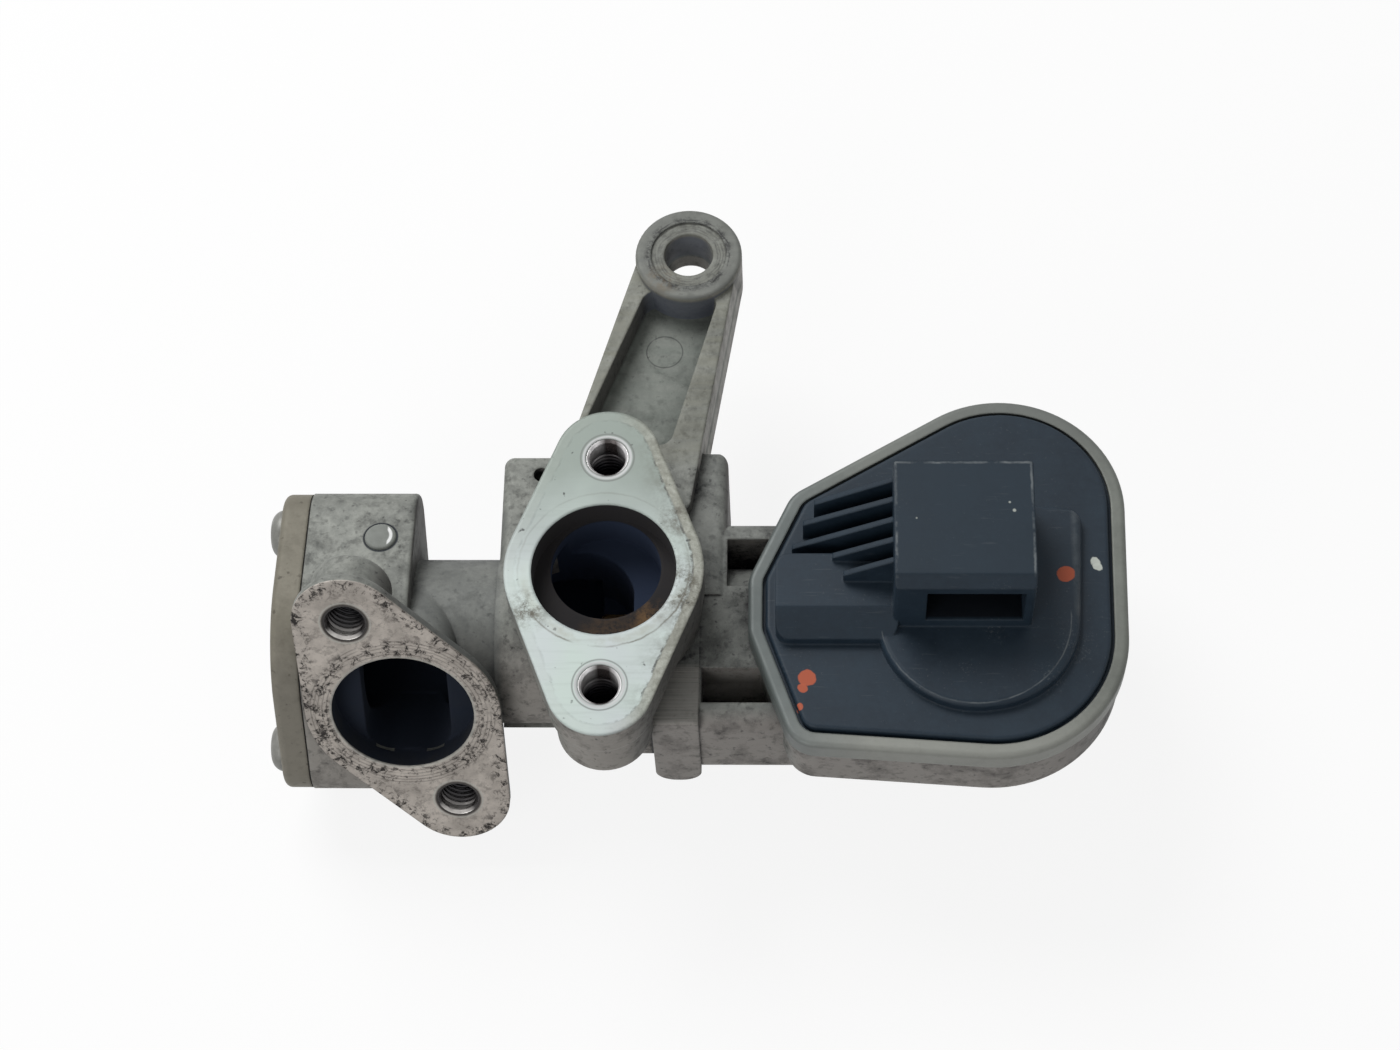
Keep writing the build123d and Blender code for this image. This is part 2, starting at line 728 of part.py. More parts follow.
def gusset(index, floor_z):
    """One sloping rib on the left of the hood."""
    y = rib_first_y - index * rib_pitch
    foot_x = (39.0, 36.9, 34.8, 42.4, 44.4)[index]
    foot_z = (-5.6, -6.0, -7.6, -3.0, -2.0)[index]
    half = rib_thickness / 2
    low = floor_z - 0.5
    right = hood_left + 0.5
    side = Polyline((foot_x, low), (right, low), (right, 4.0), (foot_x, foot_z), close=True)
    plane = Plane(origin=(0, y + half, 0), x_dir=(1, 0, 0), z_dir=(0, -1, 0))
    return extrude(plane * make_face(side), amount=rib_thickness)


def connector_terminals():
    """The blade terminals inside the hood."""
    blades = []
    middle_x = (mouth_left + mouth_right) / 2
    z = (mouth_bottom + mouth_top) / 2
    back = hood_front + mouth_depth
    for index in range(terminal_count):
        x = middle_x + (index - (terminal_count - 1) / 2) * terminal_pitch
        blade = block(x - 0.6, x + 0.6, back - 9.0, back - seat_gap / 3, z - 0.32, z + 0.32)
        blades.append(chamfer(blade.faces().sort_by(Axis.Y)[0].edges().filter_by(Axis.X), 0.25))
    return Compound(blades)


def tooth_outline(teeth, module, addendum, dedendum):
    """The closed edge of a spur gear, one tooth centred on +X, with involute flanks."""
    pitch_r = teeth * module / 2
    base_r = pitch_r * math.cos(math.radians(20))
    tip_r = pitch_r + addendum * module
    root_r = pitch_r - dedendum * module

    def involute(radius):
        """Polar angle gained by the involute of the base circle at a radius."""
        pressure = math.acos(min(1.0, base_r / radius))
        return math.tan(pressure) - pressure

    half_tooth = math.pi / (2 * teeth) - backlash / (2 * pitch_r) + involute(pitch_r)
    flank_r = [root_r, max(base_r, root_r), (max(base_r, root_r) + tip_r) / 2, tip_r]
    edges = []

    def at(radius, angle):
        """A point given by radius and angle."""
        return radius * math.cos(angle), radius * math.sin(angle)

    for tooth in range(teeth):
        middle = 2 * math.pi * tooth / teeth
        next_middle = 2 * math.pi * (tooth + 1) / teeth
        lower = [at(r, middle - half_tooth + involute(r)) for r in flank_r]
        upper = [at(r, middle + half_tooth - involute(r)) for r in flank_r]
        next_root = at(root_r, next_middle - half_tooth + involute(root_r))
        if base_r > root_r:
            edges.append(Line(lower[0], lower[1]))
            edges.append(Line(upper[1], upper[0]))
        edges.append(ThreePointArc(lower[1], lower[2], lower[3]))
        edges.append(ThreePointArc(lower[3], at(tip_r, middle), upper[3]))
        edges.append(ThreePointArc(upper[3], upper[2], upper[1]))
        edges.append(ThreePointArc(upper[0], at(root_r, (middle + next_middle) / 2), next_root))
    return make_face(edges)


def phase(from_x, from_y, to_x, to_y):
    """Direction from one axis to another, in degrees."""
    return math.degrees(math.atan2(to_y - from_y, to_x - from_x))


def spiral_groove():
    """The cam groove: an Archimedean spiral as wide as the roller, drawn about the gear axis."""
    half_width = roller_r + slip
    steps = 8
    inner = []
    outer = []
    centres = []
    for step in range(steps + 1):
        turned = math.radians(cam_angle) * step / steps
        radius = cam_start_r + cam_pitch * turned
        angle = math.pi - turned
        centre = Vector(radius * math.cos(angle), radius * math.sin(angle))
        tangent = Vector(
            cam_pitch * math.cos(angle) + radius * math.sin(angle),
            cam_pitch * math.sin(angle) - radius * math.cos(angle),
        ).normalized()
        aside = Vector(-tangent.Y, tangent.X) * half_width
        centres.append(centre)
        outer.append(centre + aside)
        inner.append(centre - aside)
    path = [Spline(*outer), Line(outer[-1], inner[-1]), Spline(*inner), Line(inner[0], outer[0])]
    groove = make_face(path)
    for centre in (centres[0], centres[-1]):
        groove += Pos(centre.X, centre.Y) * Circle(half_width)
    return groove


def drive_gear():
    """The output gear with the spiral cam groove in its underside."""
    blank = prism(tooth_outline(wheel_teeth, second_module, 0.8, 1.15), drive_bottom, drive_top)
    blank += post(0, 0, magnet_r + 1.6, drive_top, drive_top + magnet_height)
    blank -= post(0, 0, magnet_r + snug, drive_top, drive_top + magnet_height + 1)
    blank -= prism(spiral_groove(), drive_bottom - 1, drive_bottom + groove_depth)
    blank -= post(0, 0, gear_pin_r + slip, drive_bottom - 1, drive_top + 5)
    return Pos(drive_x, drive_y, 0) * blank


def idler_gear():
    """The compound intermediate gear."""
    small = prism(tooth_outline(pinion_teeth, second_module, 1.0, 1.05), drive_bottom, wheel_bottom)
    toward_drive = phase(idler_x, idler_y, drive_x, drive_y)
    drive_toward_idler = phase(drive_x, drive_y, idler_x, idler_y)
    drive_tooth = drive_toward_idler * wheel_teeth / 360
    small_turn = toward_drive + (drive_tooth % 1.0 + 0.5) * 360 / pinion_teeth
    gear = Rot(0, 0, small_turn) * small
    wheel = prism(tooth_outline(wheel_teeth, first_module, 0.8, 1.15), wheel_bottom, wheel_top)
    recess = post(0, 0, 9.6, wheel_top - 0.9, wheel_top + 1) - post(0, 0, 3.6, wheel_bottom, wheel_top)
    gear += wheel - recess
    gear -= post(0, 0, idler_pin_r + slip, drive_bottom - 1, wheel_top + 1)
    return Pos(idler_x, idler_y, 0) * gear


def motor_pinion():
    """The brass pinion on the motor shaft."""
    pinion = prism(tooth_outline(pinion_teeth, first_module, 1.0, 1.05), wheel_bottom - 0.4, wheel_top + 0.2)
    toward_idler = phase(motor_x, motor_y, idler_x, idler_y)
    idler_toward_motor = phase(idler_x, idler_y, motor_x, motor_y)
    idler_tooth = idler_toward_motor * wheel_teeth / 360
    turn = toward_idler + (idler_tooth % 1.0 + 0.5) * 360 / pinion_teeth
    pinion = Rot(0, 0, turn) * pinion
    pinion -= post(0, 0, motor_shaft_r + snug, deck_z, 0)
    return Pos(motor_x, motor_y, 0) * pinion


def motor_can():
    """The drawn steel motor case, open at the bottom."""
    top = deck_z - motor_plate_thickness - 0.1
    can = post(motor_x, motor_y, motor_r, top - motor_length, top)
    can = fillet(can.faces().sort_by(Axis.Z)[-1].edges(), 1.0)
    can -= post(motor_x, motor_y, motor_r - motor_wall, top - motor_length - 1, top - 1.0)
    return can - post(motor_x, motor_y, motor_top_bush_r + snug, top - 2, top + 1)


def motor_end_cap():
    """The moulded end cap with the brush gear, inside the open end of the motor case."""
    bottom = deck_z - motor_plate_thickness - 0.1 - motor_length
    cap = post(motor_x, motor_y, motor_r - motor_wall - snug, bottom, bottom + 2.4)
    return cap - post(motor_x, motor_y, motor_end_bush_r + snug, bottom + 0.8, bottom + 3)


def motor_bushes():
    """The two sintered bushes that carry the motor shaft."""
    top = deck_z - motor_plate_thickness - 0.1
    bottom = top - motor_length
    upper = post(motor_x, motor_y, motor_top_bush_r, top - 1.0, top + 0.6)
    lower = post(motor_x, motor_y, motor_end_bush_r, bottom + 0.8 + snug, bottom + 3.2)
    bore = post(motor_x, motor_y, motor_shaft_r + slip, bottom - 1, top + 2)
    return Compound([upper - bore, lower - bore])


def motor_magnets():
    """The two arc magnets inside the motor case."""
    top = deck_z - motor_plate_thickness - 2.5
    bottom = top - magnet_length
    outer = motor_r - motor_wall - snug
    ring = post(motor_x, motor_y, outer, bottom, top)
    ring -= post(motor_x, motor_y, outer - magnet_arc, bottom - 1, top + 1)
    slot = block(motor_x - motor_r, motor_x + motor_r, motor_y - 3, motor_y + 3, bottom - 1, top + 1)
    return ring - slot


def motor_shaft():
    """The motor shaft."""
    bottom = deck_z - motor_plate_thickness - motor_length + 1.2
    return post(motor_x, motor_y, motor_shaft_r, bottom, wheel_top + 0.4)


def armature():
    """The slotted armature and commutator on the motor shaft."""
    top = deck_z - motor_plate_thickness - 3.0
    bottom = top - core_length
    core_r = motor_r - motor_wall - magnet_arc - 0.6
    core = post(motor_x, motor_y, core_r, bottom, top)
    for index in range(5):
        turn = math.radians(360 / 5 * index)
        x = motor_x + core_r * math.cos(turn)
        y = motor_y + core_r * math.sin(turn)
        core -= post(x, y, 1.5, bottom - 1, top + 1)
    core += post(motor_x, motor_y, 3.0, bottom - commutator_length, top)
    return core - post(motor_x, motor_y, motor_shaft_r + snug, bottom - commutator_length - 1, top + 1)


def motor_plate():
    """The steel plate that holds the motor down in its pot."""
    bottom = deck_z - motor_plate_thickness
    plate = post(motor_x, motor_y, motor_plate_r, bottom, deck_z - snug)
    for x, y in motor_ears():
        plate += post(x, y, motor_ear_r, bottom, deck_z - snug)
    plate -= post(motor_x, motor_y, motor_top_bush_r + seat_gap, bottom - 1, deck_z + 1)
    for x, y in motor_ears():
        plate -= post(x, y, motor_screw_r + seat_gap, bottom - 1, deck_z + 1)
    return plate


def motor_screws():
    """The two screws of the motor plate."""
    screws = []
    for x, y in motor_ears():
        screw = button_screw(motor_screw_head_r, motor_screw_head_height, motor_screw_r, motor_screw_length)
        screws.append(Pos(x, y, deck_z) * (Rot(0, 90, 0) * screw))
    return Compound(screws)


def gear_pin():
    """The fixed pin of the drive gear."""
    pin = post(drive_x, drive_y, gear_pin_r, deck_z - 3, drive_top)
    return chamfer(pin.faces().sort_by(Axis.Z)[-1].edges(), 0.3)


def idler_pin():
    """The fixed pin of the intermediate gear."""
    pin = post(idler_x, idler_y, idler_pin_r, deck_z - 3, wheel_top + 0.8)
    return chamfer(pin.faces().sort_by(Axis.Z)[-1].edges(), 0.3)


def sensor_magnet():
    """The ring magnet in the drive gear's hub."""
    bottom = drive_top + snug
    ring = post(drive_x, drive_y, magnet_r, bottom, drive_top + magnet_height)
    return ring - post(drive_x, drive_y, gear_pin_r + 0.4, bottom - 1, bottom + magnet_height + 1)


def sensor_board():
    """The position sensor board under the cover, above the magnet."""
    ceiling = plateau_top - cover_skin
    board = block(drive_x - 7, drive_x + 7, drive_y - 12, drive_y + 7, ceiling - 1.4, ceiling)
    chip = block(drive_x - 2.5, drive_x + 2.5, drive_y - 2, drive_y + 2, ceiling - 2.4, ceiling - 1.4)
    return board + chip


def crosshead():
    """The guided block on the stem's end."""
    half_w = crosshead_width / 2
    half_h = crosshead_height / 2
    left = roller_x - crosshead_left
    body = block(left, roller_x + crosshead_right, -half_w, half_w, stem_z - half_h, stem_z + half_h)
    body = chamfer(body.edges().filter_by(Axis.X), 0.8)
    body -= rod(stem_r + snug, left - 1, left + 3)
    return body - post(roller_x, 0, roller_pin_r + snug, stem_z - half_h + 1.5, deck_z)


def roller_pin():
    """The pin that carries the cam roller."""
    bottom = stem_z - crosshead_height / 2 + 1.5 + snug
    return post(roller_x, 0, roller_pin_r, bottom, drive_bottom + groove_depth - 0.3)


def cam_roller():
    """The roller that runs in the spiral groove."""
    top = drive_bottom + groove_depth - 0.2
    roller = post(roller_x, 0, roller_r, top - roller_height, top)
    roller = chamfer(roller.edges().filter_by(GeomType.CIRCLE), 0.25)
    return roller - post(roller_x, 0, roller_pin_r + slip, top - 9, top + 1)


def spring_seat():
    """The dished washer at the fixed end of the return spring."""
    left = spring_bore_left + 0.1
    cup = rod(spring_bore_r - 0.1, left, left + 1.2)
    cup += rod(spring_r - spring_wire_r - seat_gap, left, left + 4.5)
    return cup - rod(stem_r + 1.2, left - 1, left + 6)


def spring_retainer():
    """The cup on the stem that the return spring pushes."""
    right = retainer_right()
    disc = rod(spring_bore_r - 0.7, right - retainer_thickness, right)
    disc += rod(spring_r - spring_wire_r - seat_gap, spring_right - 2.0, right)
    return disc - rod(stem_r + snug, spring_right - 4, right + 1)


def retainer_clip():
    """The snap ring that stops the retainer on the stem."""
    left = retainer_right() + clip_gap + snug
    clip = rod(stem_r + 2.2, left, left + clip_thickness)
    clip -= rod(stem_r - clip_groove_depth + snug, left - 1, left + 2)
    return clip - block(left - 1, left + 2, -1.2, 1.2, stem_z, stem_z + 9)


def return_spring():
    """The coil spring that shuts the valve."""
    left = spring_left - 1.2
    length = spring_right + 0.2 - left - 2 * spring_wire_r
    coil = Helix(pitch=length / spring_turns, height=length, radius=spring_r)
    wire = (coil ^ 0) * Circle(spring_wire_r)
    spring = sweep(wire, path=coil)
    return Pos(left + spring_wire_r, 0, stem_z) * (Rot(0, 90, 0) * spring)


pieces = {
    "valve_body": valve_body,
    "end_cover": end_cover,
    "end_cover_gasket": end_cover_gasket,
    "end_cover_screws": end_cover_screws,
    "core_plug": core_plug,
    "valve_seat": valve_seat,
    "poppet": poppet,
    "valve_stem": valve_stem,
    "stem_bush": stem_bush,
    "stem_seal": stem_seal,
    "housing_gasket": housing_gasket,
    "actuator_housing": actuator_housing,
    "housing_screws": housing_screws,
    "cover_clamp_ring": cover_clamp_ring,
    "cover_seal": cover_seal,
    "actuator_cover": actuator_cover,
    "connector_terminals": connector_terminals,
    "drive_gear": drive_gear,
    "idler_gear": idler_gear,
    "motor_pinion": motor_pinion,
    "motor_can": motor_can,
    "motor_end_cap": motor_end_cap,
    "motor_bushes": motor_bushes,
    "motor_magnets": motor_magnets,
    "motor_shaft": motor_shaft,
    "armature": armature,
    "motor_plate": motor_plate,
    "motor_screws": motor_screws,
    "gear_pin": gear_pin,
    "idler_pin": idler_pin,
    "sensor_magnet": sensor_magnet,
    "sensor_board": sensor_board,
    "crosshead": crosshead,
    "roller_pin": roller_pin,
    "cam_roller": cam_roller,
    "spring_seat": spring_seat,
    "spring_retainer": spring_retainer,
    "retainer_clip": retainer_clip,
    "return_spring": return_spring,
}

os.makedirs("parts", exist_ok=True)
for name, make in pieces.items():
    export_step(make(), f"parts/{name}.step")
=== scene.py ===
import math
import bpy
import numpy as np
from mathutils import Matrix, Vector


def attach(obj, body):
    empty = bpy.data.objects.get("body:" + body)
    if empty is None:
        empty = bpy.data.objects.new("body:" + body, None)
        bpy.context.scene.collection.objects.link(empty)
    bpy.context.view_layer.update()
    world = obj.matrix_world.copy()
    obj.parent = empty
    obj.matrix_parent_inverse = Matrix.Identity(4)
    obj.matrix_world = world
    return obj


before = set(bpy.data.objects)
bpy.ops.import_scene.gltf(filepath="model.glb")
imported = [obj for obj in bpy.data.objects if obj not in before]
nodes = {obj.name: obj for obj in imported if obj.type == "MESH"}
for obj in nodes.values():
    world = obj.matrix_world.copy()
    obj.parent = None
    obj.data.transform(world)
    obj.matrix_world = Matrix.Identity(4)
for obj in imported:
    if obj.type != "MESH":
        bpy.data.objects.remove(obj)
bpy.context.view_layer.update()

bpy.context.scene.view_settings.view_transform = "Standard"
print("frame loaded:", len(nodes), "nodes")

camera = {
    "place": (0.0367, -0.2518, 0.4943),
    "right": (0.99942, 0.01584, -0.030),
    "back": (0.03392, -0.46663, 0.8838),
    "lens": 77.14,
    "sensor": 36,
    "clip": (0.01, 20),
}


def addObject(name, data):
    made = bpy.data.objects.new(name, data)
    bpy.context.scene.collection.objects.link(made)
    return made


def makeCamera():
    data = bpy.data.cameras.new("camera")
    data.lens = camera["lens"]
    data.sensor_width = camera["sensor"]
    data.clip_start, data.clip_end = camera["clip"]
    rig = addObject("camera", data)
    back = Vector(camera["back"]).normalized()
    up = back.cross(Vector(camera["right"])).normalized()
    right = up.cross(back)
    turn = Matrix((right, up, back)).transposed()
    rig.matrix_world = Matrix.Translation(Vector(camera["place"])) @ turn.to_4x4()
    bpy.context.scene.camera = rig


lamps = {
    "key": {"place": (-0.42, 0.62, 0.85), "size": 0.70, "power": 9.6},
    "fill": {"place": (-0.45, -0.75, 0.45), "size": 0.60, "power": 3.0},
    "aim": (0.02, 0.01, -0.02),
    "skyLevel": 0.25,
}


def makeLamps():
    for name in ("key", "fill"):
        values = lamps[name]
        data = bpy.data.lights.new(name, "AREA")
        data.shape = "DISK"
        data.size = values["size"]
        data.energy = values["power"]
        lamp = addObject(name, data)
        lamp.location = values["place"]
        aim = Vector(lamps["aim"]) - Vector(values["place"])
        lamp.rotation_euler = aim.to_track_quat("-Z", "Y").to_euler()


def feed(tree, socket, value):  # a link from another node, or a constant
    if isinstance(value, bpy.types.NodeSocket):
        tree.links.new(value, socket)
    else:
        socket.default_value = value


def addNode(tree, kind, inputs=None, **settings):
    made = tree.nodes.new(kind)
    for key, value in settings.items():
        setattr(made, key, value)
    for key, value in (inputs or {}).items():
        feed(tree, made.inputs[key], value)
    return made


def mathNode(tree, operation, first, second=0.0, clamp=False):
    settings = {"operation": operation, "use_clamp": clamp}
    return addNode(tree, "ShaderNodeMath", {0: first, 1: second}, **settings).outputs[0]


def times(tree, *values):
    product = values[0]
    for value in values[1:]:
        product = mathNode(tree, "MULTIPLY", product, value)
    return product


def greatest(tree, *values):
    found = values[0]
    for value in values[1:]:
        found = mathNode(tree, "MAXIMUM", found, value)
    return found


def rampNode(tree, value, low, high, start=0.0, end=1.0):  # straight ramp from low to high, held outside
    return addNode(tree, "ShaderNodeMapRange", {0: value, 1: low, 2: high, 3: start, 4: end}).outputs[0]


def bandNode(tree, value, low, high, soft):  # 1 between low and high, with soft sides
    rise = rampNode(tree, value, low - soft, low + soft)
    return times(tree, rise, rampNode(tree, value, high - soft, high + soft, 1.0, 0.0))


def mixNode(tree, share, first, second):  # colours, each a socket or three numbers
    mix = addNode(tree, "ShaderNodeMix", {0: share}, data_type="RGBA")
    for socket, value in ((mix.inputs[6], first), (mix.inputs[7], second)):
        feed(tree, socket, (*value, 1.0) if isinstance(value, tuple) else value)
    return mix.outputs[2]


def mixValue(tree, share, first, second):
    return addNode(tree, "ShaderNodeMix", {0: share, 2: first, 3: second}).outputs[0]


def seenByEye(tree):  # camera, mirror and glass rays see the backdrop at full white
    path = tree.nodes.new("ShaderNodeLightPath").outputs
    bright = mathNode(tree, "MAXIMUM", path["Is Camera Ray"], path["Is Transmission Ray"])
    return mathNode(tree, "MAXIMUM", bright, path["Is Glossy Ray"], True)


white = (1, 1, 1, 1)


def makeWorld():
    world = bpy.data.worlds.new("studio")
    bpy.context.scene.world = world
    world.use_nodes = True
    tree = world.node_tree
    tree.nodes.clear()
    sky = addNode(tree, "ShaderNodeBackground", {"Color": white, "Strength": lamps["skyLevel"]})
    full = addNode(tree, "ShaderNodeBackground", {"Color": white, "Strength": 1.0})
    mix = addNode(tree, "ShaderNodeMixShader", {0: seenByEye(tree), 1: sky.outputs[0], 2: full.outputs[0]})
    addNode(tree, "ShaderNodeOutputWorld", {"Surface": mix.outputs[0]})


floorPlan = {
    "height": -0.0585, "reach": 3.0, "shadowShare": 0.13,
    "bounce": (0.30, 0.30, 0.30), "paper": (0.95, 0.95, 0.95),
}


def makeFloor():
    plan = floorPlan
    corners = np.array([(-1, -1), (1, -1), (1, 1), (-1, 1)], float) * plan["reach"]
    points = np.column_stack([corners, np.full(4, plan["height"])])
    mesh = bpy.data.meshes.new("floor")
    mesh.from_pydata(points.tolist(), [], [(0, 1, 2, 3)])
    floor = addObject("floor", mesh)
    paint = bpy.data.materials.new("floorPaint")
    paint.use_nodes = True
    tree = paint.node_tree
    tree.nodes.clear()
    seen = seenByEye(tree)
    share = mathNode(tree, "MULTIPLY", seen, 1 - plan["shadowShare"])
    tone = mixNode(tree, seen, plan["bounce"], plan["paper"])
    matt = addNode(tree, "ShaderNodeBsdfDiffuse", {"Color": tone})
    glow = addNode(tree, "ShaderNodeEmission", {"Color": white, "Strength": 1.0})
    mix = addNode(tree, "ShaderNodeMixShader", {0: share, 1: matt.outputs[0], 2: glow.outputs[0]})
    addNode(tree, "ShaderNodeOutputMaterial", {"Surface": mix.outputs[0]})
    mesh.materials.append(paint)


makeCamera()
makeLamps()
makeWorld()
makeFloor()
print("camera, lamps and floor ready")


def newGroup(name, inputs, outputs):
    tree = bpy.data.node_groups.new(name, "ShaderNodeTree")
    for label, value in inputs.items():
        socket = tree.interface.new_socket(label, in_out="INPUT", socket_type="NodeSocketFloat")
        socket.default_value = value
    for label in outputs:
        tree.interface.new_socket(label, in_out="OUTPUT", socket_type="NodeSocketFloat")
    return tree, tree.nodes.new("NodeGroupInput").outputs, tree.nodes.new("NodeGroupOutput").inputs


def objectPoint(tree):
    return tree.nodes.new("ShaderNodeTexCoord").outputs["Object"]


def splitPoint(tree, point):
    return addNode(tree, "ShaderNodeSeparateXYZ", {0: point}).outputs


def faceTurn(tree):  # the normal's three parts
    return splitPoint(tree, tree.nodes.new("ShaderNodeNewGeometry").outputs["Normal"])


def localPoint(tree, place, turn):  # object coordinates seen from a plane of the part, split
    return splitPoint(tree, addNode(tree, "ShaderNodeMapping", {
        "Vector": objectPoint(tree), "Location": place, "Rotation": turn,
    }, vector_type="TEXTURE").outputs[0])


def distanceTo(tree, first, second, place=(0.0, 0.0)):  # distance in a plane from two coordinates to a point
    across = addNode(tree, "ShaderNodeCombineXYZ", {0: first, 1: second}).outputs[0]
    ends = {0: across, 1: (*place, 0.0)}
    return addNode(tree, "ShaderNodeVectorMath", ends, operation="DISTANCE").outputs["Value"]


def noiseNode(tree, scale, detail=3.0, roughness=0.5, place=None, distortion=0.0):
    return addNode(tree, "ShaderNodeTexNoise", {
        "Vector": place or objectPoint(tree), "Scale": scale, "Detail": detail, "Roughness": roughness,
        "Distortion": distortion,
    }).outputs[0]


def patchNode(tree, noise, edges, shares=(0.0, 1.0)):  # a noise's patches, ramped between two edges
    return rampNode(tree, noiseNode(tree, *noise), *edges, *shares)


def waveNode(tree, value, noise, size):  # a measure made uneven by a noise, so that lines drawn from it waver
    return mathNode(tree, "ADD", value, times(tree, mathNode(tree, "SUBTRACT", noise, 0.5), size))


shadeSamples = 6


def makeCastSkin():  # cast skin: fine grain, rare pits and slow changes of tone
    tree, given, out = newGroup("castSkin", {"Grain": 1100.0}, ["Height", "Tone", "Pits"])
    fine = noiseNode(tree, given["Grain"], 3.0, 0.65)
    coarse = noiseNode(tree, times(tree, given["Grain"], 0.35), 2.0, 0.5)
    pits = patchNode(tree, (times(tree, given["Grain"], 0.6), 2.0, 0.5), (0.66, 0.74))
    height = mathNode(tree, "ADD", times(tree, fine, 0.5), times(tree, coarse, 0.5))
    tree.links.new(mathNode(tree, "SUBTRACT", height, times(tree, pits, 0.6)), out["Height"])
    slow = patchNode(tree, (95.0, 6.0, 0.6), (0.32, 0.68))
    mottle = patchNode(tree, (640.0, 4.0, 0.7), (0.3, 0.7))
    tree.links.new(mixValue(tree, 0.4, slow, mottle), out["Tone"])
    tree.links.new(pits, out["Pits"])
    return tree


def makeGrime():  # darkening in corners, partly soot and partly painted shade, and soot that lies in blotches
    tree, given, out = newGroup("grimeAndShade", {"Corners": 1.0, "Blotches": 0.5, "Reach": 0.005}, ["Mask"])
    shade = addNode(tree, "ShaderNodeAmbientOcclusion", {"Distance": given["Reach"]}, samples=shadeSamples)
    ragged = patchNode(tree, (420.0, 5.0, 0.7), (0.3, 0.6), (0.35, 1.0))
    # corners found by occlusion darken towards the soot tone: partly soot, partly painted shade
    corner = times(tree, rampNode(tree, shade.outputs["AO"], 0.85, 0.25), given["Corners"], ragged)
    patches = patchNode(tree, (130.0, 6.0, 0.75), (0.49, 0.70))
    specks = patchNode(tree, (620.0, 3.0, 0.6), (0.56, 0.68))
    blotch = times(tree, mathNode(tree, "ADD", patches, times(tree, specks, 0.55)), given["Blotches"])
    tree.links.new(mathNode(tree, "ADD", corner, blotch, True), out["Mask"])
    return tree


def makeEdgeRub():  # bare metal on outward edges
    tree, given, out = newGroup("edgeRub", {"Reach": 0.0008}, ["Mask"])
    inner = addNode(tree, "ShaderNodeAmbientOcclusion", {
        "Distance": given["Reach"],
    }, samples=shadeSamples, inside=True, only_local=True)
    ragged = patchNode(tree, (500.0, 4.0, 0.6), (0.35, 0.6), (0.2, 1.0))
    tree.links.new(times(tree, rampNode(tree, inner.outputs["AO"], 0.75, 0.35), ragged), out["Mask"])
    return tree


def makeScratches():  # hairline scratches in three directions, and dust
    tree, given, out = newGroup("scratches", {"Density": 0.5}, ["Mask", "Dust"])
    found = []
    for turn, seed in ((0.5, 0.0), (-0.9, 3.0), (1.35, 7.0)):
        where = addNode(tree, "ShaderNodeMapping", {
            "Vector": objectPoint(tree), "Location": (seed, seed, 0), "Rotation": (0, 0, turn),
            "Scale": (160, 2200, 300),
        }).outputs[0]
        lines = patchNode(tree, (1.0, 2.0, 0.5, where), (0.66, 0.74))
        gate = patchNode(tree, (130.0 + seed * 11, 2.0), (0.52, 0.64))
        found.append(times(tree, lines, gate))
    together = mathNode(tree, "ADD", mathNode(tree, "ADD", found[0], found[1]), found[2])
    tree.links.new(mathNode(tree, "MULTIPLY", together, given["Density"], True), out["Mask"])
    dust = patchNode(tree, (1500.0, 3.0, 0.7), (0.62, 0.76))
    drift = patchNode(tree, (70.0, 4.0, 0.6), (0.42, 0.66))
    tree.links.new(mathNode(tree, "MULTIPLY", dust, drift, True), out["Dust"])
    return tree


def makeToolMarks():  # fine parallel lines left by a cutter or a roller
    tree, given, out = newGroup("toolMarks", {"Across": 2600.0, "Along": 80.0, "Turn": 0.0}, ["Height"])
    turn = addNode(tree, "ShaderNodeCombineXYZ", {"Z": given["Turn"]}).outputs[0]
    scale = addNode(tree, "ShaderNodeCombineXYZ", {
        "X": given["Along"], "Y": given["Across"], "Z": given["Along"],
    }).outputs[0]
    where = addNode(tree, "ShaderNodeMapping", {
        "Vector": objectPoint(tree), "Rotation": turn, "Scale": scale,
    }).outputs[0]
    tree.links.new(noiseNode(tree, 1.0, 3.0, 0.6, where), out["Height"])
    return tree


flangePlan = {"middleR": 0.0186, "earR": 0.010, "earReach": 0.0236}


# signed distance to the outline of a two-eared flange: a belt round a middle circle and an ear
def makeFlangeEdge():
    tree, given, out = newGroup("flangeEdge", {"Across": 0.0, "Along": 0.0}, ["Edge"])
    middleR, earR, reach = (flangePlan[key] for key in ("middleR", "earR", "earReach"))
    lean = (middleR - earR) / reach
    rise = math.sqrt(1 - lean * lean)
    across = mathNode(tree, "ABSOLUTE", given["Across"])
    along = mathNode(tree, "ABSOLUTE", given["Along"])
    place = mathNode(tree, "SUBTRACT", times(tree, along, rise), times(tree, across, lean))
    atMiddle = mathNode(tree, "LESS_THAN", place, 0.0)
    atEar = mathNode(tree, "GREATER_THAN", place, rise * reach)
    middle = mathNode(tree, "SUBTRACT", distanceTo(tree, across, along), middleR)
    ear = mathNode(tree, "SUBTRACT", distanceTo(tree, across, along, (0.0, reach)), earR)
    side = mathNode(tree, "SUBTRACT", times(tree, along, lean), middleR)
    side = mathNode(tree, "ADD", times(tree, across, rise), side)
    between = mathNode(tree, "SUBTRACT", 1.0, mathNode(tree, "ADD", atMiddle, atEar))
    found = mathNode(tree, "ADD", times(tree, atMiddle, middle), times(tree, atEar, ear))
    tree.links.new(mathNode(tree, "ADD", found, times(tree, between, side)), out["Edge"])
    return tree


effects = {
    "castSkin": makeCastSkin(), "grimeAndShade": makeGrime(), "edgeRub": makeEdgeRub(),
    "scratches": makeScratches(), "toolMarks": makeToolMarks(), "flangeEdge": makeFlangeEdge(),
}


def addEffect(tree, name, **values):
    return addNode(tree, "ShaderNodeGroup", values, node_tree=effects[name]).outputs


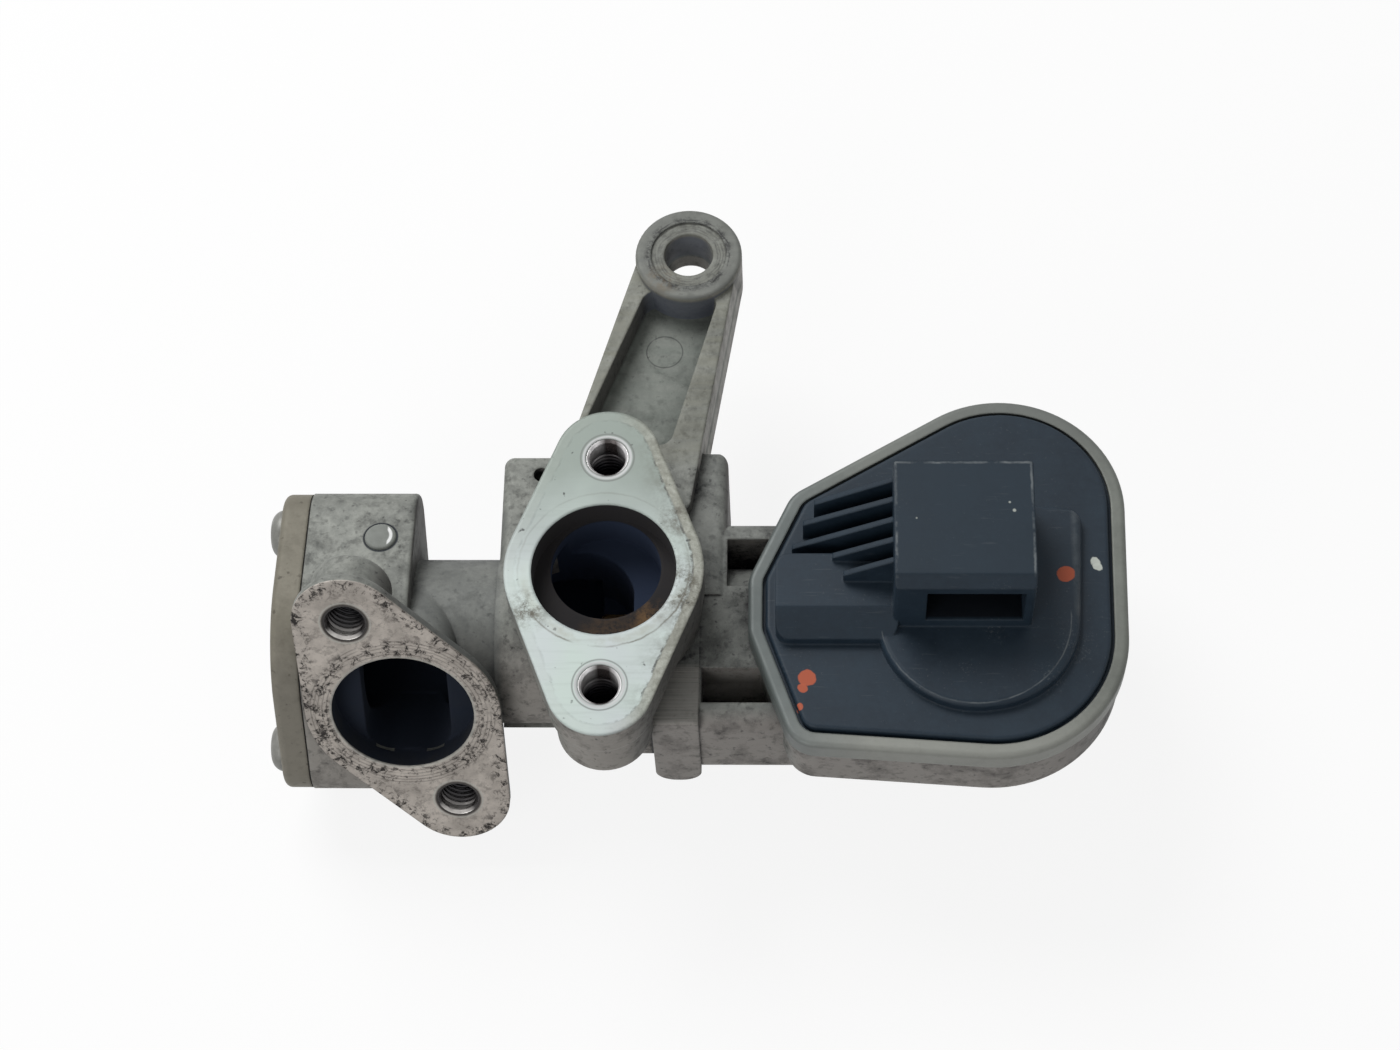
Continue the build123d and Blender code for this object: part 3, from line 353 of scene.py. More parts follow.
def newFinish(name):
    finish = bpy.data.materials.new(name)
    finish.use_nodes = True
    tree = finish.node_tree
    return finish, tree, tree.nodes["Principled BSDF"]


# edges are shaded as if rounded, then the height is laid over them
def roundedNormal(tree, shader, height, strength, distance, radius):
    soft = addNode(tree, "ShaderNodeBevel", {"Radius": radius}, samples=shadeSamples)
    bump = addNode(tree, "ShaderNodeBump", {
        "Strength": strength, "Distance": distance, "Height": height, "Normal": soft.outputs[0],
    })
    tree.links.new(bump.outputs[0], shader.inputs["Normal"])


castPlan = {
    "sootAndShadeReach": 0.006, "rubReach": 0.0007, "rub": 0.40, "pits": 0.6,
    # facing ranges and shares of the painted shading tints: forward faces browner, right faces darker
    "shadeFacingFront": (-0.25, -0.85), "frontShadeShare": 0.75, "shadeFacingRight": (0.5, 0.9), "rightShadeShare": 0.85,
    "rough": (0.55, 0.9), "metal": (0.12, 0.0), "specular": 0.25,
    "bump": 0.40, "bumpDepth": 0.00013, "edgeR": 0.0008,
}
bodyPlan = {
    "light": (0.335, 0.345, 0.315), "dark": (0.115, 0.122, 0.113), "sootAndShade": (0.022, 0.022, 0.023),
    # the tones for faces turned forward and right are painted shading
    "bareAndGlint": (0.50, 0.51, 0.47), "front": (0.33, 0.305, 0.28), "aside": (0.095, 0.092, 0.086),
    "grain": 1150.0, "corners": 1.0, "blotches": 0.55,
    "outletSide": (-0.0198, -0.0194), "faceSkin": (-0.0005, -0.0002),
    "tube": (0.135, 0.142, 0.138), "tubeSpan": (-0.0372, -0.0205), "tubeBack": (0.022, 0.020),
    "inletPlace": (-0.0387, -0.019486, -0.021914), "tilt": 65.0, "turn": 22.5,
    "plugPlace": (-0.0439, 0.013135, -0.012541), "plugLean": -0.1297,
    "plugGap": (0.0030, 0.0034), "plugSpan": (-0.004, 0.002),
    "ventPlace": (0.0235, -0.0279), "ventR": 0.0008, "ventSpan": (-0.0385, -0.0365),
}
lineSoft = 0.0001
stepSoft = 0.0002


def tappedRings(tree, across, along):  # distance from the centre of the nearer of a flange's two tapped holes
    folded = mathNode(tree, "ABSOLUTE", along)
    return distanceTo(tree, across, folded, (0.0, flangePlan["earReach"]))


def inletTurn():  # the inlet flange leans to the front and is turned in its own plane
    lean = Matrix.Rotation(math.radians(bodyPlan["tilt"]), 3, "X")
    return lean @ Matrix.Rotation(math.radians(bodyPlan["turn"]), 3, "Z")


def inletPoint(tree):
    return localPoint(tree, bodyPlan["inletPlace"], inletTurn().to_euler())


def plugPoint(tree):
    return localPoint(tree, bodyPlan["plugPlace"], (bodyPlan["plugLean"], 0, 0))


def addSootAndShade(tree, values, reach):
    return addEffect(tree, "grimeAndShade", Corners=values["corners"], Blotches=values["blotches"], Reach=reach)


def castColour(tree, values):  # cast tone with worn edges, pits, soot and painted shade in corners; a painted shading tint makes it browner where it faces forward and darker where it faces right
    plan = castPlan
    skin = addEffect(tree, "castSkin", Grain=values["grain"])
    sootAndShade = addSootAndShade(tree, values, plan["sootAndShadeReach"])
    rub = addEffect(tree, "edgeRub", Reach=plan["rubReach"])
    facing = faceTurn(tree)
    # painted shading: forward faces are tinted brown and right faces darkened, as the light falls
    forward = rampNode(tree, facing[1], *plan["shadeFacingFront"])
    colour = mixNode(tree, skin["Tone"], values["dark"], values["light"])
    colour = mixNode(tree, times(tree, forward, plan["frontShadeShare"]), colour, values["front"])
    aside = rampNode(tree, facing[0], *plan["shadeFacingRight"], 0.0, plan["rightShadeShare"])
    colour = mixNode(tree, aside, colour, values["aside"])
    colour = mixNode(tree, times(tree, rub["Mask"], plan["rub"]), colour, values["bareAndGlint"])
    colour = mixNode(tree, times(tree, skin["Pits"], plan["pits"]), colour, values["sootAndShade"])
    return mixNode(tree, sootAndShade["Mask"], colour, values["sootAndShade"]), skin, sootAndShade["Mask"], facing


armPlan = {
    "start": (0.029, 0.031), "lay": 1.32,
    # the outer side's span, facing and pale tone make a painted reflection of the backdrop on the arm's outer
    # side
    "reflectedSideSpan": (0.010, 0.014), "reflectionFacing": (0.4, 0.8), "side": (0.62, 0.61, 0.57),
    "webLevel": (-0.0205, -0.0190), "web": (0.165, 0.185, 0.165),
    "ribLevel": (-0.0146, -0.0140), "rib": (0.21, 0.212, 0.175),
    # the pocket's spans and its film tone paint shade in the pocket under the boss
    "pocketTop": (-0.0128, -0.0136), "pocketFloor": (-0.0206, -0.0196), "pocketStart": (0.0640, 0.0650),
    "filmAndShade": (0.12, 0.135, 0.165),
    "ejector": (0.0093, 0.0586), "ejectorBand": (0.0035, 0.0037),
    "bossPlace": (0.0140, 0.0770), "bossR": (0.0111, 0.0107), "bossLevel": (-0.0126, -0.0122),
    "grey": (0.150, 0.157, 0.148), "scuffed": (0.0054, 0.0088),
    "rings": (0.0056, 0.0061, 0.0067, 0.0073, 0.0081), "ringWidth": 0.00022, "lineSoft": 0.00012,
    "stainPlace": (0.0092, 0.0712), "stainR": (0.0042, 0.0012), "stain": (0.17, 0.12, 0.065),
}


def armColour(tree, colour, point, facing):  # web, ribs, outer side with a painted reflection, pocket under the boss in painted shade, and ejector mark
    plan = armPlan
    x, y, z = point
    onArm = rampNode(tree, y, *plan["start"])
    # painted reflection: the arm's outer side, turned right, is made pale
    reflectedSide = times(tree, onArm, rampNode(tree, x, *plan["reflectedSideSpan"]))
    reflectedSide = times(tree, reflectedSide, rampNode(tree, facing[0], *plan["reflectionFacing"]))
    uneven = patchNode(tree, (330.0, 5.0, 0.7), (0.3, 0.6), (0.35, 0.9))
    colour = mixNode(tree, times(tree, reflectedSide, uneven), colour, plan["side"])
    onWeb = times(tree, onArm, bandNode(tree, z, *plan["webLevel"], stepSoft))
    lines = addEffect(tree, "toolMarks", Across=700.0, Along=60.0, Turn=plan["lay"])["Height"]
    streaks = rampNode(tree, lines, 0.35, 0.7)
    colour = mixNode(tree, times(tree, onWeb, mixValue(tree, streaks, 0.45, 0.80)), colour, plan["web"])
    onRib = times(tree, onArm, rampNode(tree, z, *plan["ribLevel"]))
    colour = mixNode(tree, times(tree, onRib, mixValue(tree, streaks, 0.25, 0.85)), colour, plan["rib"])
    forward = rampNode(tree, facing[1], *castPlan["shadeFacingFront"])
    # painted shade on the pocket's forward faces under the boss
    pocketShade = times(tree, onArm, forward, rampNode(tree, y, *plan["pocketStart"]))
    pocketShade = times(tree, pocketShade, rampNode(tree, z, *plan["pocketTop"]))
    pocketShade = times(tree, pocketShade, rampNode(tree, z, *plan["pocketFloor"]))
    colour = mixNode(tree, times(tree, pocketShade, 0.85), colour, plan["filmAndShade"])
    mark = bandNode(tree, distanceTo(tree, x, y, plan["ejector"]), *plan["ejectorBand"], plan["lineSoft"])
    mark = times(tree, onWeb, mark, patchNode(tree, (300.0, 3.0), (0.3, 0.5), (0.3, 1.0)))
    colour = mixNode(tree, times(tree, mark, 0.75), colour, bodyPlan["sootAndShade"])
    return bossColour(tree, colour, point, streaks)


def bossColour(tree, colour, point, streaks):  # the boss's face: scuffed and scored in rings, with a stain
    plan = armPlan
    x, y, z = point
    ring = distanceTo(tree, x, y, plan["bossPlace"])
    onBoss = times(tree, rampNode(tree, ring, *plan["bossR"]), rampNode(tree, z, *plan["bossLevel"]))
    colour = mixNode(tree, times(tree, onBoss, mixValue(tree, streaks, 0.6, 0.95)), colour, plan["grey"])
    scuffed = patchNode(tree, (480.0, 6.0, 0.8), (0.48, 0.60))
    scuffed = times(tree, onBoss, scuffed, bandNode(tree, ring, *plan["scuffed"], 0.0004))
    colour = mixNode(tree, times(tree, scuffed, 0.8), colour, bodyPlan["sootAndShade"])
    wave = waveNode(tree, ring, noiseNode(tree, 260.0, 4.0), 0.0011)
    for number, radius in enumerate(plan["rings"]):
        score = bandNode(tree, wave, radius, radius + plan["ringWidth"], plan["lineSoft"])
        broken = patchNode(tree, (170.0 + 23 * number, 4.0, 0.6), (0.42, 0.58))
        colour = mixNode(tree, times(tree, onBoss, score, broken, 0.9), colour, bodyPlan["sootAndShade"])
    stain = rampNode(tree, distanceTo(tree, x, y, plan["stainPlace"]), *plan["stainR"])
    stain = times(tree, onBoss, stain, patchNode(tree, (420.0, 5.0, 0.7), (0.4, 0.65)))
    return mixNode(tree, times(tree, stain, 0.8), colour, plan["stain"])


outletPlan = {
    "face": (0.475, 0.55, 0.515), "tint": (0.48, 0.52, 0.53), "dull": (0.255, 0.295, 0.268),
    "dullFrom": (-0.002, 0.022), "rightFrom": (0.001, 0.010), "lowFrom": (0.002, -0.006),
    "borderEdge": (-0.0021, -0.0018), "strip": ((0.20, 0.20, 0.165), (0.40, 0.41, 0.36)),
    "hairBand": (-0.0022, -0.0018),
    "traceBand": (0.0158, 0.0161), "trace": (0.10, 0.085, 0.06),
    "filmBand": (0.0141, 0.0156), "filmAndShade": (0.30, 0.29, 0.22),
    "worn": (0.10, 0.095, 0.075), "wornEdge": (-0.0075, -0.0016),
    "wornSpots": (
        ((-0.0138, -0.0085), 0.0052, 1.0), ((0.0152, -0.0040), 0.0095, 1.0), ((0.0140, 0.0105), 0.0055, 0.8),
    ),
    "mouthRings": (
        (0.0049, 0.0052, 0.7, (0.14, 0.145, 0.14)),
        (0.0042, 0.0047, 1.0, (0.46, 0.47, 0.47)),
        (0.0036, 0.0041, 1.0, (0.24, 0.24, 0.235)),
    ),
}


def outletColour(tree, colour, point, right):  # pale patina, cast border, gasket print, dirt and hole mouths
    plan = outletPlan
    sootAndShade = bodyPlan["sootAndShade"]
    x, y, z = point
    onOutlet = times(tree, right, rampNode(tree, z, *bodyPlan["faceSkin"]))
    edge = addEffect(tree, "flangeEdge", Across=x, Along=y)["Edge"]
    ring = distanceTo(tree, x, y)
    ragged = noiseNode(tree, 330.0, 5.0, 0.7)
    drift = patchNode(tree, (60.0, 3.0), (0.35, 0.65))
    face = mixNode(tree, drift, plan["face"], plan["tint"])
    upper = rampNode(tree, waveNode(tree, y, drift, 0.008), *plan["dullFrom"])
    face = mixNode(tree, upper, face, plan["dull"])
    wipe = addEffect(tree, "toolMarks", Across=900.0, Along=60.0, Turn=0.9)["Height"]
    face = mixNode(tree, rampNode(tree, wipe, 0.50, 0.75, 0.0, 0.25), face, plan["dull"])

    edgeWave = waveNode(tree, edge, ragged, 0.0013)
    rightSide = rampNode(tree, x, *plan["rightFrom"])
    border = times(tree, rampNode(tree, edgeWave, *plan["borderEdge"]), mixValue(tree, rightSide, 0.10, 1.0))
    castStrip = mixNode(tree, rampNode(tree, ragged, 0.35, 0.65), *plan["strip"])
    face = mixNode(tree, times(tree, border, 0.9), face, castStrip)
    hair = bandNode(tree, edgeWave, *plan["hairBand"], lineSoft)
    hair = times(tree, hair, rampNode(tree, ragged, 0.42, 0.6), mixValue(tree, rightSide, 0.2, 1.0))
    face = mixNode(tree, times(tree, hair, 0.8), face, sootAndShade)

    low = rampNode(tree, y, *plan["lowFrom"])
    ringWave = waveNode(tree, ring, ragged, 0.0008)
    trace = times(tree, bandNode(tree, ringWave, *plan["traceBand"], 0.00014), mixValue(tree, low, 0.25, 1.0))
    trace = times(tree, trace, patchNode(tree, (90.0, 3.0), (0.36, 0.54)))
    face = mixNode(tree, times(tree, trace, 0.85), face, plan["trace"])
    filmAndShade = times(tree, bandNode(tree, ringWave, *plan["filmBand"], 0.0004), low)
    filmAndShade = times(tree, filmAndShade, patchNode(tree, (160.0, 5.0, 0.7), (0.40, 0.62)))
    face = mixNode(tree, times(tree, filmAndShade, 0.45), face, plan["filmAndShade"])

    flecks = patchNode(tree, (260.0, 6.0, 0.78), (0.46, 0.60))
    for place, reach, share in plan["wornSpots"]:
        spot = rampNode(tree, distanceTo(tree, x, y, place), reach, reach * 0.25)
        face = mixNode(tree, times(tree, spot, flecks, share), face, plan["worn"])
    worn = times(tree, rampNode(tree, edge, *plan["wornEdge"]), rightSide)
    worn = times(tree, worn, patchNode(tree, (170.0, 6.0, 0.75), (0.44, 0.64)))
    face = mixNode(tree, times(tree, worn, 0.55), face, plan["worn"])
    dots = patchNode(tree, (540.0, 2.0, 0.5), (0.69, 0.75))
    face = mixNode(tree, times(tree, dots, 0.8), face, sootAndShade)
    holeRing = tappedRings(tree, x, y)
    for low, high, share, tone in plan["mouthRings"]:
        face = mixNode(tree, times(tree, bandNode(tree, holeRing, low, high, lineSoft), share), face, tone)
    return mixNode(tree, onOutlet, colour, face), onOutlet, ring, holeRing


inletPlan = {
    "face": (0.62, 0.565, 0.51), "dull": (0.38, 0.345, 0.31), "flake": (0.040, 0.036, 0.034),
    "flakeBand": (0.0140, 0.0176), "flakeEdge": (-0.0034, -0.0014),
    "grooves": (0.0144, 0.0152, 0.0160, 0.0167, 0.0174), "grooveWidth": 0.0001, "rim": (0.0134, 0.0139),
    "mouthBand": (0.0037, 0.0045), "mouth": (0.055, 0.050, 0.046), "chamferBand": (0.0046, 0.0049),
}


def inletColour(tree, colour, place, left):  # dull machined face, flaking round the bore and along the border
    plan = inletPlan
    u, v, n = place
    onInlet = times(tree, left, rampNode(tree, n, *bodyPlan["faceSkin"]))
    edge = addEffect(tree, "flangeEdge", Across=u, Along=v)["Edge"]
    ring = distanceTo(tree, u, v)
    dirt = patchNode(tree, (190.0, 6.0, 0.72), (0.36, 0.66))
    face = mixNode(tree, dirt, plan["face"], plan["dull"])
    near = bandNode(tree, ring, *plan["flakeBand"], 0.0006)
    near = greatest(tree, near, rampNode(tree, edge, *plan["flakeEdge"]))
    flakes = patchNode(tree, (560.0, 6.0, 0.8, None, 0.4), (0.50, 0.59))
    flakes = times(tree, flakes, mixValue(tree, near, 0.35, 1.0), onInlet)
    face = mixNode(tree, flakes, face, plan["flake"])
    wave = waveNode(tree, ring, noiseNode(tree, 330.0, 5.0, 0.7), 0.0006)
    for radius in plan["grooves"]:
        groove = bandNode(tree, wave, radius, radius + plan["grooveWidth"], 0.00014)
        broken = patchNode(tree, (80.0 + radius * 4000, 3.0), (0.38, 0.52))
        face = mixNode(tree, times(tree, groove, broken, 0.9), face, plan["flake"])
    rim = bandNode(tree, ring, *plan["rim"], lineSoft)
    face = mixNode(tree, times(tree, rim, 0.5), face, bodyPlan["bareAndGlint"])
    holeRing = tappedRings(tree, u, v)
    # painted shade: the mouth tone darkens a ring round each hole, standing for a chamfer that isn't modelled
    face = mixNode(tree, bandNode(tree, holeRing, *plan["mouthBand"], stepSoft), face, plan["mouth"])
    chamfer = bandNode(tree, holeRing, *plan["chamferBand"], lineSoft)
    face = mixNode(tree, times(tree, chamfer, 0.6), face, bodyPlan["bareAndGlint"])
    return mixNode(tree, onInlet, colour, face), onInlet, ring, holeRing, flakes


borePlan = {
    # the wall tone is soot; the deep tones darken the far ends of bores and holes as painted shade
    "wall": (0.020, 0.022, 0.027), "deep": (0.011, 0.016, 0.028), "deepOutlet": (0.026, 0.038, 0.070),
    "portR": (0.0136, 0.01355), "outletTop": (-0.0001, -0.0003), "outletFloor": (-0.041, -0.040),
    "inletSpan": (-0.0052, -0.0003), "chamberPlace": (0.0, -0.031), "chamberR": (0.0148, 0.0147),
    "ductHalf": (0.0082, 0.0132), "ductCorner": 0.0050, "ductLap": (0.0008, 0.0005),
    "ductSpan": (-0.0218, -0.0050),
    "outletDark": (-0.0062, -0.0068), "inletDark": (-0.002, -0.006),
    "ledge": (-0.0064, -0.0060), "char": (0.026, 0.023, 0.022), "rust": (0.15, 0.09, 0.045),
    "rustCorner": (0.0086, -0.0078), "rustCornerR": (0.0052, 0.0014),
    "rustBottom": (0.001, -0.0125), "rustBottomR": (0.0075, 0.002),
    "holeR": (0.00415, 0.00405), "outletHole": (-0.0180, -0.0005), "inletHole": (-0.0130, -0.0005),
}


def ductMask(tree):  # the rounded duct behind the inlet, which leans with the flange but isn't turned
    plan = borePlan
    lap = plan["ductLap"]
    corner = plan["ductCorner"]
    reach = [half - corner for half in plan["ductHalf"]]
    duct = localPoint(tree, bodyPlan["inletPlace"], (math.radians(bodyPlan["tilt"]), 0, 0))
    across, along = (greatest(tree, mathNode(tree, "ABSOLUTE", duct[axis]), reach[axis]) for axis in (0, 1))
    inside = rampNode(tree, distanceTo(tree, across, along, reach), corner + lap[0], corner + lap[1])
    return times(tree, inside, bandNode(tree, duct[2], *plan["ductSpan"], lineSoft))


# bores and chamber: soot over dull metal, painted darker further in as shade, and a charred ledge with rust
# low down in the outlet
def boreColour(tree, colour, point, n, ring, inletRing, right):
    plan = borePlan
    x, y, z = point
    left = mathNode(tree, "SUBTRACT", 1.0, right)
    inOutlet = times(tree, rampNode(tree, ring, *plan["portR"]), rampNode(tree, z, *plan["outletTop"]))
    inOutlet = times(tree, inOutlet, rampNode(tree, z, *plan["outletFloor"]))
    inInlet = rampNode(tree, inletRing, *plan["portR"])
    inInlet = times(tree, inInlet, bandNode(tree, n, *plan["inletSpan"], lineSoft))
    inInlet = times(tree, left, greatest(tree, inInlet, ductMask(tree)))
    inChamber = rampNode(tree, distanceTo(tree, y, z, plan["chamberPlace"]), *plan["chamberR"])
    wall = mixNode(tree, patchNode(tree, (260.0, 5.0, 0.7), (0.35, 0.7)), plan["deep"], plan["wall"])
    onLedge = times(tree, inOutlet, rampNode(tree, z, *plan["ledge"]))
    wall = mixNode(tree, times(tree, onLedge, 0.8), wall, plan["char"])
    corner = rampNode(tree, distanceTo(tree, x, y, plan["rustCorner"]), *plan["rustCornerR"])
    bottom = rampNode(tree, distanceTo(tree, x, y, plan["rustBottom"]), *plan["rustBottomR"])
    rust = times(tree, greatest(tree, corner, times(tree, bottom, 0.55)), onLedge)
    rust = times(tree, rust, patchNode(tree, (420.0, 6.0, 0.75), (0.40, 0.58)))
    wall = mixNode(tree, rust, wall, plan["rust"])
    # painted shade: the bore walls darken to the deep tone further in
    outletDark = times(tree, right, rampNode(tree, z, *plan["outletDark"]))
    inletDark = times(tree, left, rampNode(tree, n, *plan["inletDark"]))
    deep = mixNode(tree, right, plan["deep"], plan["deepOutlet"])
    wall = mixNode(tree, greatest(tree, outletDark, inletDark), wall, deep)
    bore = greatest(tree, inOutlet, inInlet, inChamber)
    return mixNode(tree, bore, colour, wall), bore


# drilled hole walls and a small vent are painted dark as shade, and a hairline gap runs round the core plug
def holeMask(tree, point, n, holeRing, inletHole, right):
    plan = borePlan
    x, y, z = point
    left = mathNode(tree, "SUBTRACT", 1.0, right)
    inHole = times(tree, right, rampNode(tree, holeRing, *plan["holeR"]))
    inHole = times(tree, inHole, bandNode(tree, z, *plan["outletHole"], stepSoft))
    inHoleLeft = times(tree, left, rampNode(tree, inletHole, *plan["holeR"]))
    inHoleLeft = times(tree, inHoleLeft, bandNode(tree, n, *plan["inletHole"], stepSoft))
    plugX, plugY, plugZ = plugPoint(tree)
    gap = bandNode(tree, distanceTo(tree, plugX, plugY), *bodyPlan["plugGap"], lineSoft)
    gap = times(tree, gap, bandNode(tree, plugZ, *bodyPlan["plugSpan"], 0.0005))
    ventR = bodyPlan["ventR"]
    vent = rampNode(tree, distanceTo(tree, y, z, bodyPlan["ventPlace"]), ventR + lineSoft, ventR)
    vent = times(tree, vent, bandNode(tree, x, *bodyPlan["ventSpan"], stepSoft))
    return greatest(tree, inHole, inHoleLeft, times(tree, gap, 0.85), vent)


def castSurface(tree, shader, dirt, height):  # gives roughness and metal, duller where soot lies
    plan = castPlan
    shader.inputs["Specular IOR Level"].default_value = plan["specular"]
    roundedNormal(tree, shader, height, plan["bump"], plan["bumpDepth"], plan["edgeR"])
    return rampNode(tree, dirt, 0.0, 1.0, *plan["rough"]), rampNode(tree, dirt, 0.0, 0.7, *plan["metal"])


def bodyFinish():
    finish, tree, shader = newFinish("bodyCast")
    plan = bodyPlan
    point = splitPoint(tree, objectPoint(tree))
    x, y = point[:2]
    place = inletPoint(tree)
    right = rampNode(tree, x, *plan["outletSide"])
    left = mathNode(tree, "SUBTRACT", 1.0, right)
    colour, skin, sootAndShade, facing = castColour(tree, plan)
    onTube = times(tree, bandNode(tree, x, *plan["tubeSpan"], 0.0006), rampNode(tree, y, *plan["tubeBack"]))
    colour = mixNode(tree, times(tree, onTube, mixValue(tree, skin["Tone"], 0.75, 0.5)), colour, plan["tube"])
    colour = armColour(tree, colour, point, facing)
    colour, onOutlet, ring, holeRing = outletColour(tree, colour, point, right)
    colour, onInlet, inletRing, inletHole, flakes = inletColour(tree, colour, place, left)
    colour, bore = boreColour(tree, colour, point, place[2], ring, inletRing, right)
    # the holes and vent are painted dark as shade; the gap round the plug is a dark joint
    black = holeMask(tree, point, place[2], holeRing, inletHole, right)
    colour = mixNode(tree, black, colour, borePlan["deep"])
    tree.links.new(colour, shader.inputs["Base Color"])

    machined = greatest(tree, onOutlet, onInlet)
    fine = times(tree, addEffect(tree, "toolMarks", Across=2400.0, Along=70.0, Turn=0.4)["Height"], 0.18)
    milled = mathNode(tree, "SUBTRACT", fine, times(tree, flakes, 0.5))
    grain = mixValue(tree, machined, skin["Height"], milled)
    rough, metal = castSurface(tree, shader, greatest(tree, sootAndShade, bore, black), grain)
    rough = mixValue(tree, machined, rough, mixValue(tree, flakes, 0.42, 0.8))
    tree.links.new(rough, shader.inputs["Roughness"])
    tree.links.new(mixValue(tree, machined, metal, 0.15), shader.inputs["Metallic"])
    return finish


# in each finish the tones for faces turned forward and right are painted shading
castFinish = {
    "housingCast": {
        "light": (0.270, 0.280, 0.260), "dark": (0.115, 0.122, 0.115), "sootAndShade": (0.018, 0.018, 0.020),
        "bareAndGlint": (0.42, 0.42, 0.39), "front": (0.31, 0.285, 0.265), "aside": (0.15, 0.145, 0.14),
        "grain": 1100.0, "corners": 1.0, "blotches": 0.55,
    },
    "coverCast": {
        "light": (0.22, 0.205, 0.165), "dark": (0.15, 0.140, 0.110), "sootAndShade": (0.04, 0.033, 0.025),
        "bareAndGlint": (0.38, 0.36, 0.30), "front": (0.24, 0.225, 0.19), "aside": (0.15, 0.14, 0.12),
        "grain": 1100.0, "corners": 0.6, "blotches": 0.20,
    },
}
padPlan = {
    "span": (0.0086, 0.0176), "back": (-0.0115, -0.0125), "top": (-0.0171, -0.0169),
    "bareAndGlint": (0.34, 0.325, 0.30),
}


def castMetal(name):
    finish, tree, shader = newFinish(name)
    colour, skin, sootAndShade = castColour(tree, castFinish[name])[:3]
    height = skin["Height"]
    if name == "housingCast":  # the mounting pad is milled across
        x, y, z = splitPoint(tree, objectPoint(tree))
        onPad = times(tree, bandNode(tree, x, *padPlan["span"], lineSoft), rampNode(tree, z, *padPlan["top"]))
        onPad = times(tree, onPad, rampNode(tree, y, *padPlan["back"]))
        milled = addEffect(tree, "toolMarks", Across=3000.0, Along=60.0, Turn=math.pi / 2)["Height"]
        bareAndGlint = times(tree, onPad, rampNode(tree, milled, 0.3, 0.7, 0.25, 1.0))
        colour = mixNode(tree, bareAndGlint, colour, padPlan["bareAndGlint"])
        height = mathNode(tree, "ADD", height, times(tree, onPad, milled))
    tree.links.new(colour, shader.inputs["Base Color"])
    rough, metal = castSurface(tree, shader, sootAndShade, height)
    tree.links.new(rough, shader.inputs["Roughness"])
    tree.links.new(metal, shader.inputs["Metallic"])
    return finish


finishes = {name: castMetal(name) for name in castFinish}
finishes["bodyCast"] = bodyFinish()

plainFinish = {  # two tones, metal, roughness, bump and the radius of rounded edges
    "ringSteel": ((0.185, 0.198, 0.176), (0.130, 0.140, 0.124), 0.20, 0.46, 0.06, 0.0006),
    "steel": ((0.50, 0.50, 0.50), (0.36, 0.36, 0.36), 0.95, 0.30, 0.06, 0.0003),
    "screwSteel": ((0.27, 0.27, 0.255), (0.17, 0.17, 0.155), 0.35, 0.40, 0.08, 0.0003),
    "plugSteel": ((0.235, 0.25, 0.23), (0.17, 0.18, 0.165), 0.0, 0.65, 0.05, 0.0004),
    "hotSteel": ((0.20, 0.18, 0.16), (0.08, 0.07, 0.065), 0.7, 0.5, 0.08, 0.0003),
    "springSteel": ((0.30, 0.30, 0.32), (0.18, 0.18, 0.19), 0.9, 0.35, 0.05, 0.0001),
    "bronze": ((0.52, 0.33, 0.16), (0.35, 0.21, 0.10), 0.9, 0.45, 0.1, 0.0003),
    "brass": ((0.70, 0.54, 0.26), (0.52, 0.38, 0.17), 0.95, 0.30, 0.05, 0.0002),
    "gasketSheet": ((0.05, 0.05, 0.05), (0.025, 0.025, 0.025), 0.1, 0.7, 0.1, 0.0002),
    "rubber": ((0.028, 0.028, 0.028), (0.018, 0.018, 0.018), 0.0, 0.6, 0.1, 0.0002),
    "darkPlastic": ((0.05, 0.05, 0.055), (0.03, 0.03, 0.033), 0.0, 0.5, 0.08, 0.0003),
    "gearPlastic": ((0.68, 0.63, 0.50), (0.58, 0.53, 0.40), 0.0, 0.42, 0.05, 0.0002),
    "magnetStone": ((0.10, 0.10, 0.105), (0.06, 0.06, 0.063), 0.3, 0.6, 0.15, 0.0003),
    "boardGreen": ((0.03, 0.16, 0.07), (0.02, 0.10, 0.045), 0.0, 0.4, 0.05, 0.0002),
}
plainPlan = {
    "grain": 2400.0, "corners": 0.40, "blotches": 0.12, "sootAndShadeReach": 0.003, "sootAndShade": (0.04, 0.035, 0.03),
    "bumpDepth": 0.0001,
}
ringPlan = {
    "back": (0.020, 0.040), "backTone": (0.115, 0.125, 0.120),
    "front": (-0.018, -0.030), "frontTone": (0.27, 0.275, 0.25),
    "neck": (0.050, 0.034), "neckTone": (0.080, 0.098, 0.100),
    "rubReach": 0.0005, "bareAndGlint": (0.34, 0.36, 0.32),
}
# place and tone of a painted highlight crescent on the core plug's dome
plugPlan = {
    "centre": (-0.0004, 0.0001), "highlightCrescent": (0.0021, 0.0027), "right": (0.0012, 0.0015),
    "bareAndGlint": (0.92, 0.93, 0.92),
}


def ringColour(tree, colour):  # worn along its edges, duller on the side of the neck
    plan = ringPlan
    x, y = splitPoint(tree, objectPoint(tree))[:2]
    colour = mixNode(tree, rampNode(tree, y, *plan["back"], 0.0, 0.6), colour, plan["backTone"])
    colour = mixNode(tree, rampNode(tree, y, *plan["front"], 0.0, 0.7), colour, plan["frontTone"])
    colour = mixNode(tree, rampNode(tree, x, *plan["neck"], 0.0, 0.75), colour, plan["neckTone"])
    rub = addEffect(tree, "edgeRub", Reach=plan["rubReach"])
    return mixNode(tree, times(tree, rub["Mask"], 0.30), colour, plan["bareAndGlint"])


